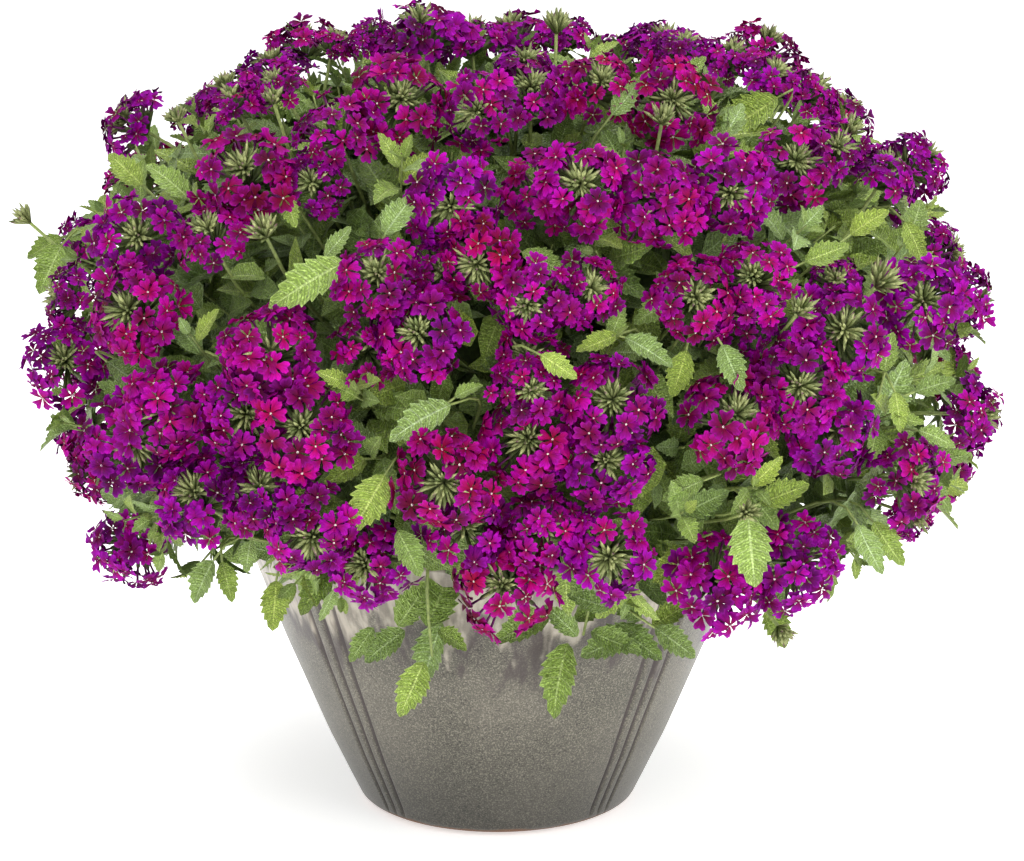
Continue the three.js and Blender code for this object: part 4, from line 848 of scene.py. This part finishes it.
def tapers(starts, ends, shares, radii):
    """Straight tapers from starts to ends, with a radius at each share of the way."""
    first, second = square_frames(unit(ends - starts), np.zeros(len(starts)))
    centres = starts[:, None] + (ends - starts)[:, None] * np.array(shares)[:, None]
    return rings_round(centres, first[:, None], second[:, None], radii, TAPER_SIDES)


def spiral_buds(head, count, widest, level):
    """Bud tips on a sunflower spiral over the dome: polar angle by the square root of the order."""
    order = np.arange(count) + 0.5
    reach = level - 0.05 * np.cos(order * 7)
    tips = on_dome(head, widest * np.sqrt(order / count), order * GOLDEN_TURN, reach[:, None])[0]
    return tips + draw.normal(0, BUD_JITTER, (count, 3))


def on_stalk(head, level):
    """The point on a head's axis at a level of its radius."""
    return head["point"] + level * head["radius"] * head["axis"]


def end_caps(points, last=True):
    """Faces over the first rings of tubes, and over the last ones."""
    count, rings, sides = points.shape[:3]
    ring = np.arange(count)[:, None] * rings * sides + np.arange(sides)
    caps = ring[:, ::-1].tolist()
    return caps + (ring + (rings - 1) * sides).tolist() if last else caps


def plain_green(name, roughness):
    """Green skin from the tint, mottled a little."""
    material, tree, shader = new_material(name, roughness=roughness, specular_ior_level=0.35)
    mottle = ramp(tree, noise(tree, object_place(tree), 400.0), 0.3, 0.7)
    colour = shaded(tree, tint_of(tree), mottle, 0.75, 1.2)
    tree.links.new(colour, shader.inputs["Base Color"])
    return material


bud_heads = []
for i, (across, up, radius) in enumerate(BUD_HEADS):
    point, scale = seen_on_mound(across, up)
    axis = unit(mound_normal(point) + BUD_LOOKS_UP)
    first, second = square_frames(axis, i)
    point = point + BUD_STANDS_OUT * axis
    size = radius * scale * MM
    bud_heads.append({"point": point, "radius": size, "axis": axis, "first": first, "second": second})

calyx_starts, calyx_ends, bud_starts, bud_ends = [], [], [], []
for head in [*heads, *bud_heads]:
    if "middles" in head:
        head["hub"] = on_stalk(head, HUB)
        calyx_starts.append(np.broadcast_to(head["hub"], head["middles"].shape))
        calyx_ends.append(head["middles"])
        bud_count = OPEN_BUDS if head["is_open"] else CENTRE_BUDS
        tips = spiral_buds(head, bud_count, draw.uniform(*CENTRE_POLARS), CENTRE_LEVEL)
        bud_hub = on_stalk(head, CENTRE_HUB)
    else:
        head["hub"] = bud_hub = on_stalk(head, CLOSED_HUB)
        tips = spiral_buds(head, CLOSED_BUDS, CLOSED_POLAR, 1.0)
    bud_ends.append(tips)
    bud_starts.append(np.broadcast_to(bud_hub, tips.shape))
calyxes = tapers(np.concatenate(calyx_starts), np.concatenate(calyx_ends), *CALYX_PROFILE)
buds = tapers(np.concatenate(bud_starts), np.concatenate(bud_ends), *BUD_PROFILE)
calyx_tint = np.array([CALYX_GREEN, CALYX_GREEN, TUBE_PURPLE, TUBE_PURPLE])[:, None]
bud_tint = between(BUD_GREENS, draw.uniform(0, 1, (len(buds), 1)))
bud_tint = np.repeat(bud_tint[:, None], buds.shape[1], 1)
bud_tint[draw.uniform(0, 1, len(buds)) < PURPLE_TIPS, -1] = BUD_PURPLE
bud_tint = bud_tint[:, :, None]
bud_skin = plain_green("bud_skin", 0.6)
make_piece("calyxes", calyxes, bud_skin, "foliage", calyx_tint, wrap=True, caps=end_caps(calyxes))
caps = end_caps(buds, False)
make_piece("buds", buds, bud_skin, "foliage", bud_tint, wrap=True, weld=True, caps=caps)

# ---- Leaves ------------------------------------------------------------------------------------
# Verbena leaves grow in opposite pairs, each pair square to the last. They are longer than they
# are wide, coarsely toothed, folded at the midrib, and wrinkled between sunken pale veins.
TEETH = 6
TOOTH_PITCH = 0.133
FIRST_NOTCH = 0.13
TOOTH_TIP = 0.090
# The width's share and the way forward at a notch, on a plain edge and at a tooth tip.
TOOTH_WIDTHS = np.array([0.83, 1.0, 1.06])
TOOTH_SWEEPS = np.array([0, 0, 0.035])
LEAF_COLUMNS = np.array([-1, -0.5, 0, 0.5, 1])
LEAF_WIDTHS = (0.25, 0.31)
LEAF_FOLDS = (0.10, 0.55)
LEAF_DROOPS = (0.05, 0.26)
LEAF_BEND = 0.07
LEAF_WAVES = (0.015, 0.04)
# Greens from dark to light. Leaves deep in the bush take the darker ones as painted shade; youth and
# chance also move a leaf along them.
LEAF_GREENS = ((0.090, 0.156, 0.017), (0.162, 0.264, 0.028), (0.300, 0.450, 0.062))
LEAF_YELLOW = np.array([1.22, 1.12, 0.80])
LEAF_GREY = np.array([1.00, 1.00, 1.60])
LEAF_VEIN = (2.6, 2.2, 5.4, 1)
BLISTERS = (4.0, 1.6)
VEINLETS = 3.0
LEAF_SETBACKS = (6, -6, 18, -16, 30, -26, 42)
LEAF_OUT = (-0.1, 0.25)
LEAF_UP = 0.5
LEAF_LEAN = (-0.3, 0.3)
LEAF_DROOP = 0.14
SAME_PLACE = 0.3 * MM
ALL_ROUND = (0, 2)
BUSH_TRIES = 400
BUSH_RISES = (-0.45, 1.05)
BUSH_LEAF_LENGTHS = (41 * MM, 60 * MM)
BUSH_LEAF_LEVEL = 0.8
BUSH_LEAF_TURN = (-0.7, 0.7)
BUSH_LEAF_LIFT = 0.3
BUSH_LEAF_TILT = 0.4
SHOOTS = 300
SHOOT_HEIGHTS = (math.sin(-0.40), 1.0)
SHOOT_UP = np.array([0, 0, 0.35])
SHOOT_JITTER = 0.22
# How far out a shoot reaches, by its distance from the next head in radii.
SHOOT_ROOMS = (0.9, 1.2, 1.5)
SHOOT_LEVELS = (0.84, 0.93, 0.985)
TOP_SHOOTS_LOWER = 0.10
TIP_TRIES = 700
TIP_RISES = (-0.4, 1.5)
TIP_LEVEL = 0.965
TIP_UP = np.array([0, 0, 0.2])
TIP_ROOM = 2.0
PAIR_PLACES = np.array([1, 9, 22, 40])[:, None] * MM
PAIR_LENGTHS = np.array([13, 25, 35, 40])[:, None] * MM
PAIR_ANGLES = np.radians([28, 48, 62, 74])[:, None]
COVERED = 1.1
# Where on a leaf its room is looked at, and how much it needs: in radii of a head, in levels of
# the mound, and beside and above the pot.
LOOKED_AT = (0.15, 0.5, 0.95)
IN_HEAD = 0.82
OFF_HEAD = 1.35
BEFORE_HEAD = 0.35
OFF_MOUND = 1.07
OFF_POT = (4 * MM, 5 * MM)
DEEP_LEAVES = 4200
DEEP_HEIGHTS = (math.sin(math.radians(-28)), 1)
DEEP_LEVELS = (0.64, 0.86)
DEEP_LENGTHS = (24 * MM, 38 * MM)
DEEP_ROWS = np.array([0, 0.3, 0.65, 1])
DEEP_COLUMNS = np.array([-1.0, 0, 1])
WEDGES = 12
# Leaves as seen from the front: across and up of the base, across and up of the tip.
LEAVES = [
    [-259, 172, -283, 195], [-227, 163, -252, 189], [-117, 118, -173, 89], [-131, 121, -113, 142],
    [-160, 165, -150, 143], [-89, 137, -71, 167], [7, 125, 42, 111], [51, 242, 80, 210],
    [50, 168, 74, 151], [120, 247, 135, 262], [186, 233, 144, 203], [237, 137, 261, 156],
    [275, 146, 291, 118], [205, 118, 237, 131], [114, 93, 85, 76], [20, 53, 46, 37], [74, 67, 46, 55],
    [79, 65, 114, 48], [122, 56, 113, 23], [147, 60, 161, 28], [261, 41, 263, 69], [268, 27, 273, 0],
    [282, 27, 310, 37], [284, 0, 312, -7], [289, -24, 319, -15], [289, -35, 310, -54],
    [134, -35, 104, -46], [174, -51, 207, -37], [165, -59, 170, -110], [242, -66, 256, -100],
    [253, -64, 271, -96], [-43, 18, -89, -2], [-40, 23, -22, 34], [-89, -31, -111, -71],
    [-169, -59, -208, -70], [-183, -77, -187, -99], [-209, -91, -225, -120], [-203, -92, -195, -119],
    [-165, -105, -167, -140], [100, -138, 130, -158], [181, -121, 189, -152], [-315, 135, -340, 122],
    [-315, 130, -330, 97], [-312, 136, -291, 136], [-203, 51, -182, 42], [-283, 48, -253, 27],
    [70, 221, 90, 242],
]
TRAILING_LEAVES = [
    [-49, -134, -66, -180], [-62, -162, -78, -200], [-75, -140, -105, -160], [39, -149, 23, -198],
    [55, -141, 90, -155], [44, -133, 68, -118], [72, -136, 104, -160],
]
# More leaves at the front, round the shoots that trail over the rim.
CLUSTER_LEAVES = [
    [87, -140, 48, -160], [69, -124, 39, -115], [98, -137, 127, -119], [26, -130, -13, -144],
    [46, -144, 24, -121], [-60, -137, -39, -95], [-80, -137, -58, -107], [-97, -138, -114, -162],
    [90, -133, 66, -112], [-52, -140, -30, -150], [-80, -70, -63, -102],
]
CLUSTER_SETBACKS = (-4,)


def leaf_stations():
    """Rows of a leaf grid: base, neck, then a notch and a tooth tip in turn, and the tip. Notches
    are 0, a plain edge is 1 and tooth tips are 2."""
    notches = FIRST_NOTCH + TOOTH_PITCH * np.arange(TEETH)
    rows = np.stack([notches, notches + TOOTH_TIP], 1).ravel()
    return np.array([0, 0.06, *rows, 1]), np.array([1, 1, *[0, 2] * TEETH, 1])


def leaf_sheets(leaves, u, kind, v):
    """Leaf blades on grids of length u and side v. The half width is a sine of u to the power
    0.78. Along the edge it is widened and swept forward at tooth tips and narrowed at notches. The
    blade folds up with the side, droops with u squared and puffs up between its veins."""
    u = u[:, None]
    rim = np.abs(v) == 1
    envelope = np.sin(math.pi * u**0.78).clip(0) ** 0.85
    wide = np.maximum(envelope * np.where(rim, TOOTH_WIDTHS[kind][:, None], 1), 0.03)
    sweep = rim * TOOTH_SWEEPS[kind][:, None]
    shape = ("length", "width", "fold", "droop", "bend", "wave")
    length, width, fold, droop, bend, wave = (leaves[key][:, None, None] for key in shape)
    side = v * wide * width
    phase = (u - 0.10 * np.abs(v) - FIRST_NOTCH - TOOTH_TIP + 0.03) / TOOTH_PITCH
    puff = 0.05 * np.sin(math.pi * phase) ** 2 * np.abs(v) * (1.15 - np.abs(v)) * envelope
    ruffle = wave * np.sin(2 * math.pi * (u * 2.2 + wave * 9) + v) * np.abs(v) * envelope
    height = np.abs(side) * fold - droop * u**2 + puff + ruffle
    local = np.stack(np.broadcast_arrays(u + sweep, side + bend * u**2, height), -1)
    axes = leaves["along"], leaves["across"], leaves["up"]
    points = placed_grids(local * length[..., None], axes, leaves["base"])
    uv = np.stack(np.broadcast_arrays(0.5 + 0.5 * v, u), -1)
    return points, np.broadcast_to(uv, (*points.shape[:3], 2))


def grow_leaves(bases, ways, normals, lengths, droop=None):
    """Leaves at their places, with seeded variety in shape."""
    count = len(lengths)
    along = unit(ways)
    up = unit(normals - along * (normals * along).sum(1, keepdims=True))
    made = {"base": bases, "along": along, "up": up, "across": np.cross(up, along), "length": lengths}
    made["width"] = draw.uniform(*LEAF_WIDTHS, count)
    made["fold"] = draw.uniform(*LEAF_FOLDS, count)
    made["droop"] = draw.uniform(*LEAF_DROOPS, count) if droop is None else np.full(count, droop)
    made["bend"] = draw.normal(0, LEAF_BEND, count)
    made["wave"] = draw.uniform(*LEAF_WAVES, count)
    return made


def seen_leaves(rows, set_backs):
    """Leaves seen from the front: base, tip and the way that the upper face looks, at each of some
    set-backs."""
    for index, (across, up, tip_across, tip_up) in enumerate(rows):
        lean = between(LEAF_LEAN, index * PLASTIC[0] % 1)
        normal = unit(TO_EYE + LEAF_UP * SIGHT_UP + (lean, 0, 0))
        places = []
        for set_back in set_backs:
            base, scale = seen_on_mound(across, up, set_back)
            span = np.array([tip_across - across, 0, 0]) + (tip_up - up) * SIGHT_UP
            span = span * scale * MM
            out = np.linalg.norm(span) * between(LEAF_OUT, index * GOLDEN % 1)
            places.append((base, base + span + out * TO_EYE, normal))
        yield [np.array(group) for group in zip(*places)]


def on_corner(points):
    """Whether the solids of the stems have a corner at each point."""
    near = [np.linalg.norm(stem_corners - point, axis=1).min() for point in points]
    return np.array(near) < SAME_PLACE


def in_solids(bases, tips, normals):
    """Whether the solids have these leaves: their drooping tips are corners of the stems."""
    along = unit(tips - bases)
    up = unit(normals - along * (normals * along).sum(1, keepdims=True))
    return on_corner(tips - up * LEAF_DROOP * np.linalg.norm(tips - bases, axis=1, keepdims=True))


def table_leaves(rows):
    """The leaves of a table, each at the first set-back where the solids have it."""
    found = []
    for places in seen_leaves(rows, LEAF_SETBACKS):
        found += [[group[at] for group in places] for at in np.nonzero(in_solids(*places))[0][:1]]
    return [np.array(group) for group in zip(*found)]


def bush_leaves():
    """Leaves that stand out all round by the plastic number's rule, where the solids have them."""
    azimuth, rise = scattered(BUSH_TRIES, ALL_ROUND, BUSH_RISES)
    surface, out = out_on_mound(azimuth, rise)
    order = np.arange(BUSH_TRIES)
    turned = between(BUSH_LEAF_TURN, order * GOLDEN % 1)
    ways = unit(out + round_points(turned, azimuth + math.pi / 2, BUSH_LEAF_LIFT))
    bases = nearer_centre(surface, BUSH_LEAF_LEVEL)
    tips = bases + ways * between(BUSH_LEAF_LENGTHS, order * (1 - GOLDEN) % 1)[:, None]
    normals = out * BUSH_LEAF_TILT + (0, 0, 1)
    kept = in_solids(bases, tips, normals)
    return bases[kept], tips[kept], normals[kept]


stem_names, stem_points = node_corners("leafy_stem")
stem_corners = np.concatenate(stem_points)
named = table_leaves(LEAVES)
trailing = table_leaves(TRAILING_LEAVES)
bush = bush_leaves()
cluster = [np.concatenate(group) for group in zip(*seen_leaves(CLUSTER_LEAVES, CLUSTER_SETBACKS))]
head_points, head_radii, head_axes = (
    np.array([head[key] for head in heads]) for key in ("point", "radius", "axis")
)


def leafy_shoots():
    """Shoots: those that the solids have, whose tips are corners, then others on evenly scattered
    ways. Those reach the surface where the heads leave them room, and stay lower under them."""
    surface, out = out_on_mound(*scattered(TIP_TRIES, ALL_ROUND, TIP_RISES))
    tips = nearer_centre(surface, TIP_LEVEL)
    kept = on_corner(tips)
    tips, axes = tips[kept], unit(out + TIP_UP)[kept]
    azimuth, heights = scattered(SHOOTS, ALL_ROUND, SHOOT_HEIGHTS)
    surface = out_on_mound(azimuth, np.arcsin(heights))[0]
    room = (np.linalg.norm(head_points - surface[:, None], axis=2) / head_radii).min(1)
    level = np.interp(room, SHOOT_ROOMS, SHOOT_LEVELS)
    level -= TOP_SHOOTS_LOWER * smooth_step(0.6, 1.1, np.arcsin(heights))
    more_axes = unit(mound_normal(surface) + SHOOT_UP + draw.normal(0, SHOOT_JITTER, (SHOOTS, 3)))
    more_tips = nearer_centre(surface, level[:, None])
    rooms = np.concatenate([np.full(len(tips), TIP_ROOM), room])
    return np.concatenate([tips, more_tips]), np.concatenate([axes, more_axes]), rooms


def pair_leaves(tips, axes):
    """Four pairs of leaves down each shoot. Pairs lower down are longer and spread wider."""
    shape = (len(tips), len(PAIR_PLACES), 2)
    first, second = square_frames(axes, draw.uniform(0, 2 * math.pi, len(tips)))
    turned = np.arange(len(PAIR_PLACES))[:, None] * math.pi / 2 + np.array([0, math.pi])
    turned = (turned + draw.normal(0, 0.15, shape))[..., None]
    side = first[:, None, None] * np.cos(turned) + second[:, None, None] * np.sin(turned)
    axes = np.broadcast_to(axes[:, None, None], side.shape)
    lean = (PAIR_ANGLES + draw.normal(0, 0.14, shape))[..., None]
    ways = axes * np.cos(lean) + side * np.sin(lean)
    bases = tips[:, None, None] - axes * PAIR_PLACES[..., None] + side * 2 * MM
    lengths = PAIR_LENGTHS * draw.uniform(0.75, 1.2, shape)
    normals = axes - side * 0.3
    return [x.reshape(-1, 3) for x in (bases, ways, normals)] + [lengths.ravel()]


def has_room(bases, ways, lengths):
    """Whether leaves stay out of the heads, off their faces, off the pot and inside the mound."""
    room = np.ones(len(lengths), bool)
    for share in LOOKED_AT:
        point = bases + unit(ways) * (lengths * share)[:, None]
        off = point[:, None] - head_points
        near = np.linalg.norm(off, axis=2) / head_radii
        ahead = np.einsum("nhk,hk->nh", off, head_axes) / head_radii
        room &= ~((near < IN_HEAD) | ((near < OFF_HEAD) & (ahead > BEFORE_HEAD))).any(1)
        room &= mound_level(point) < OFF_MOUND
        across = np.hypot(point[:, 0], point[:, 1])
        beside_pot = across > pot_radius(point[:, 2]) + OFF_POT[0]
        room &= beside_pot | (point[:, 2] > POT_HEIGHT + OFF_POT[1])
    return room


shoot_tips, shoot_axes, rooms = leafy_shoots()
shoot_leaves = pair_leaves(shoot_tips, shoot_axes)
is_young = np.tile(np.repeat(np.arange(len(PAIR_PLACES)) == 0, 2), len(shoot_tips))
kept = has_room(shoot_leaves[0], shoot_leaves[1], shoot_leaves[3])
kept &= ~is_young | (np.repeat(rooms, 2 * len(PAIR_PLACES)) > COVERED)
leaf_sets = [
    grow_leaves(bases, tips - bases, normals, np.linalg.norm(tips - bases, axis=1), LEAF_DROOP)
    for bases, tips, normals in (named, trailing, bush, cluster)
]
leaf_sets.append(grow_leaves(*(x[kept] for x in shoot_leaves)))
leaves = {key: np.concatenate([leaf_set[key] for leaf_set in leaf_sets]) for key in leaf_sets[0]}


def leaf_colours(leaves, low, high):
    """A colour for each leaf: darker the deeper in the bush it lies, which is painted shade, lighter
    while it is young, with a yellow or a grey cast."""
    middle = leaves["base"] + leaves["along"] * leaves["length"][:, None] * 0.5
    count = len(middle)
    # Painted shade: the deeper in the bush a leaf's middle lies, the darker its green.
    depth_shade_and_tone = smooth_step(low, high, mound_level(middle)) * 0.75 + draw.uniform(-0.2, 0.3, count)
    depth_shade_and_tone = (depth_shade_and_tone + smooth_step(0.034, 0.014, leaves["length"]) * 0.3).clip(0, 1)
    greens = np.stack([np.interp(depth_shade_and_tone, [0, 0.5, 1], channel) for channel in zip(*LEAF_GREENS)], 1)
    cast = draw.uniform(-1, 1, (count, 1))
    greens *= 1 + (LEAF_YELLOW - 1) * cast.clip(0, 1) + (LEAF_GREY - 1) * (-cast).clip(0, 1)
    return greens[:, None, None]


def deep_leaves():
    """Leaves inside the bush, on evenly scattered ways out of its middle, from seeded depths."""
    azimuth, heights = scattered(DEEP_LEAVES, ALL_ROUND, DEEP_HEIGHTS)
    surface, ways = out_on_mound(azimuth, np.arcsin(heights))
    bases = nearer_centre(surface, draw.uniform(*DEEP_LEVELS, (DEEP_LEAVES, 1)))
    along = unit(ways * 0.5 + draw.normal(0, 0.6, ways.shape))
    normals = ways + (0, 0, 0.3) + draw.normal(0, 0.3, ways.shape)
    lengths = draw.uniform(*DEEP_LENGTHS, DEEP_LEAVES)
    kept = has_room(bases, along, lengths)
    return grow_leaves(bases[kept], along[kept], normals[kept], lengths[kept])


def leaf_material():
    """Green blades with paler veins: a midrib, side veins that run to the teeth, and veinlets between
    them, over a blistered skin. The edge is pale too. Painted highlight lightens the blisters' tops and
    the ridges, and painted shade darkens the furrows between them."""
    material, tree, shader = new_material("leaf_blade", roughness=0.42, sheen_weight=0.12)
    _, across, out = surface_place(tree)
    side = calc(tree, "ABSOLUTE", calc(tree, "MULTIPLY_ADD", across, 2.0, -1.0))
    phase = calc(tree, "MULTIPLY_ADD", side, -0.10, out)
    phase = calc(tree, "SUBTRACT", phase, FIRST_NOTCH + TOOTH_TIP - 0.03)
    phase = calc(tree, "DIVIDE", phase, TOOTH_PITCH)
    away = calc(tree, "FRACT", calc(tree, "ADD", phase, 0.5))
    away = calc(tree, "ABSOLUTE", calc(tree, "SUBTRACT", away, 0.5))
    side_vein = ramp(tree, away, 0.015, 0.10, 0.7, 0)
    vein = calc(tree, "MAXIMUM", ramp(tree, side, 0.02, 0.10, 1, 0), side_vein)
    mottle = noise(tree, object_place(tree), 260.0, 3.0, 0.6)
    down = calc(tree, "MULTIPLY_ADD", mottle, 2.0, times(tree, phase, BLISTERS[1]))
    cells = {0: times(tree, side, BLISTERS[0]), 1: down, 2: times(tree, mottle, 3.0)}
    cells = {"Vector": node(tree, "ShaderNodeCombineXYZ", cells).outputs[0], "Scale": 1.0}
    net = node(tree, "ShaderNodeTexVoronoi", cells, feature="DISTANCE_TO_EDGE").outputs[0]
    blister = ramp(tree, net, 0.02, 0.28)
    crossing = calc(tree, "MULTIPLY_ADD", phase, VEINLETS, times(tree, mottle, 2.6))
    valley = calc(tree, "MULTIPLY_ADD", calc(tree, "FRACT", crossing), 2.0, -1.0)
    ridge = ramp(tree, calc(tree, "ABSOLUTE", valley), 0.45, 0.85)
    colour = shaded(tree, tint_of(tree), ramp(tree, mottle, 0.3, 0.72), 0.84, 1.12)
    # Painted highlight and painted shade: lighter on the blisters' tops and the ridges, darker in the
    # furrows.
    colour = shaded(tree, colour, blister, 0.86, 1.08)
    colour = shaded(tree, colour, ridge, 0.78, 1.10)
    pale = blend(tree, 1.0, colour, LEAF_VEIN, "MULTIPLY")
    # Pale fine lines on the ridges: partly veinlets, partly painted highlight.
    fine = times(tree, ridge, ramp(tree, blister, 0.2, 0.9, 0, 0.40))
    rim = ramp(tree, side, 0.86, 1.0, 0, 0.45)
    vein = calc(tree, "MAXIMUM", vein, calc(tree, "MAXIMUM", fine, rim))
    colour = blend(tree, times(tree, vein, 0.72), colour, pale)
    tree.links.new(colour, shader.inputs["Base Color"])
    wrinkles = calc(tree, "MULTIPLY_ADD", vein, -0.9, calc(tree, "ADD", blister, mottle))
    emboss(tree, shader, wrinkles, 0.8, 0.9 * MM)
    return material


leaf_blade = leaf_material()
leaf_points, leaf_uv = leaf_sheets(leaves, *leaf_stations(), LEAF_COLUMNS)
# The greens are painted shade between these levels of the mound: darker inside, lighter further out.
leaf_tint = leaf_colours(leaves, 0.72, 0.98)
azimuth = np.arctan2(leaves["base"][:, 1], leaves["base"][:, 0] - MOUND_CENTRE[0])
wedge = ((azimuth + math.pi) / (2 * math.pi) * WEDGES).astype(int) % WEDGES
for w, name in enumerate(stem_names):
    mine = wedge == w
    points, tint, uv = leaf_points[mine], leaf_tint[mine], leaf_uv[mine]
    foliage = make_piece("foliage_" + name[-2:], points, leaf_blade, "foliage", tint, uv)
    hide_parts(name)

# Plain leaves fill the bush behind the others. Only glimpses of them show, in greens that are darker the
# deeper they lie, as painted shade.
deep = deep_leaves()
points, uv = leaf_sheets(deep, DEEP_ROWS, np.ones(len(DEEP_ROWS), int), DEEP_COLUMNS)
make_piece("deep_leaves", points, leaf_blade, "foliage", leaf_colours(deep, 0.56, 1.0), uv)

# ---- Stems -------------------------------------------------------------------------------------
# Slender stems rise from the crown in the soil, branch inside the bush and end in leafy shoots, or in
# stalks that each carry a head. Two shoots trail over the pot's rim. In the middle one dark crumpled
# body stands for the foliage in deep shade: its dark green is painted shade.
STEM_GREEN = np.array([0.235, 0.295, 0.085])
STEM_SIDES = 5
STEM_SHARES = np.linspace(0, 1, 8)
STALK_RADII = (1.15 * MM, 1.6 * MM)
SHOOT_RADII = (0.7 * MM, 1.5 * MM)
LEAF_STALK_RADII = (0.8 * MM, 1.2 * MM)
MAIN_RADII = (3.2 * MM, 2.6 * MM)
TRAILING_RADII = (1.6 * MM, 0.9 * MM)
STEM_FOOT = (62 * MM, SOIL_CROWN[1] - 20 * MM)
STEM_SPREAD = (1.4, 1.4, 1)
# The trailing shoots: where each ends, as seen from the front, and where it passes over the rim.
TRAILING_SHOOTS = [[-56, -158], [50, -143]]
SHOOT_ROOT = (154 * MM, 246 * MM)
SHOOT_BEND = (224 * MM, 234 * MM)
SHOOT_EDGE = (232 * MM, 234 * MM)
INNER_LEVEL = 0.62
INNER_ROWS = 44
INNER_COLUMNS = 100
INNER_SHADE_GREEN = (0.110, 0.175, 0.035)


def curved_tubes(starts, leave, arrive, ends, radii):
    """Tubes along cubic curves from start to end, by way of two control points. Rings stand
    square to the curve, and the radius goes evenly from one end's to the other's."""
    t = STEM_SHARES[:, None]
    a, b, c, d = (x[:, None] for x in (starts, leave, arrive, ends))
    centres = a * (1 - t) ** 3 + 3 * b * t * (1 - t) ** 2 + 3 * c * t**2 * (1 - t) + d * t**3
    tangent = unit(np.gradient(centres, axis=1))
    helper = unit(np.cross(tangent[:, :1], np.array([0.31, 0.52, 0.79])))
    first = unit(helper - tangent * (helper * tangent).sum(-1, keepdims=True))
    return rings_round(centres, first, np.cross(tangent, first), between(radii, STEM_SHARES), STEM_SIDES)


def stalks_in(starts, axes, radii, sink=0.5):
    """Stalks from places near the surface back into the bush, leaving along their axes."""
    crown = np.array([MOUND_CENTRE[0], 0, SOIL_CROWN[1]])
    ends = crown + (starts - crown) * sink
    far = np.linalg.norm(ends - starts, axis=1, keepdims=True)
    return curved_tubes(starts, starts - axes * far * 0.4, ends + (starts - crown) * 0.12, ends, radii)


def round_stems(azimuth, place):
    """Points round the bush's upright axis, from their distance to it and height."""
    return MOUND_CENTRE * (1, 0, 0) + round_points(place[0], azimuth, place[1])


carried = [*heads, *bud_heads]
hubs, hub_axes = (np.array([head[key] for head in carried]) for key in ("hub", "axis"))
leaf_bases, leaf_tips = (np.concatenate(ends) for ends in list(zip(named, bush))[:2])
flower_stalks = stalks_in(hubs, hub_axes, STALK_RADII)
shoot_stalks = stalks_in(shoot_tips, shoot_axes, SHOOT_RADII)
leaf_stalks = stalks_in(leaf_bases, unit(leaf_tips - leaf_bases), LEAF_STALK_RADII, 0.7)
foot = round_stems(turns_of(WEDGES) + math.pi / WEDGES, STEM_FOOT)
foot_top = foot * STEM_SPREAD + (0, 0, 90 * MM)
main_stems = curved_tubes(foot, foot + (0, 0, 30 * MM), foot_top - (0, 0, 20 * MM), foot_top, MAIN_RADII)
shoot_ends = np.array([seen_on_mound(across, up)[0] for across, up in TRAILING_SHOOTS])
around = np.arctan2(shoot_ends[:, 1], shoot_ends[:, 0] - MOUND_CENTRE[0])
over_rim = [round_stems(around, place) for place in (SHOOT_ROOT, SHOOT_BEND, SHOOT_EDGE)]
trailing_stems = curved_tubes(*over_rim, shoot_ends, TRAILING_RADII)
stem_skin = plain_green("stem_skin", 0.55)
for piece_name, points in (
    ("flower_stalks", flower_stalks),
    ("shoot_stems", np.concatenate([shoot_stalks, leaf_stalks, trailing_stems])),
    ("main_stems", main_stems),
):
    tint = STEM_GREEN * draw.uniform(0.7, 1.2, (len(points), 1, 1, 1))
    make_piece(piece_name, points, stem_skin, "foliage", tint, wrap=True, caps=end_caps(points))

# Painted shade: a dark green crumpled body inside the bush, which shows through the gaps between the
# leaves.
rise = np.linspace(math.pi / 2, -math.pi / 2, INNER_ROWS)[:, None]
surface, ways = out_on_mound(turns_of(INNER_COLUMNS), rise)
inner = nearer_centre(surface, INNER_LEVEL)
crumple = 6 * MM * ripples(inner, 30 * MM, 8) + 3 * MM * ripples(inner, 12 * MM, 9)
inner = inner + ways * crumple[..., None]
make_piece("inner_shade_foliage", inner, stem_skin, "foliage", INNER_SHADE_GREEN, wrap=True, weld=True)

# ---- Done --------------------------------------------------------------------------------------
# The box of the solids and the box of all that now shows are set side by side, in metres.
boxes = {"cad": cad_box, "visual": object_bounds()}
boxes = {name: [list(map(float, corner)) for corner in box] for name, box in boxes.items()}
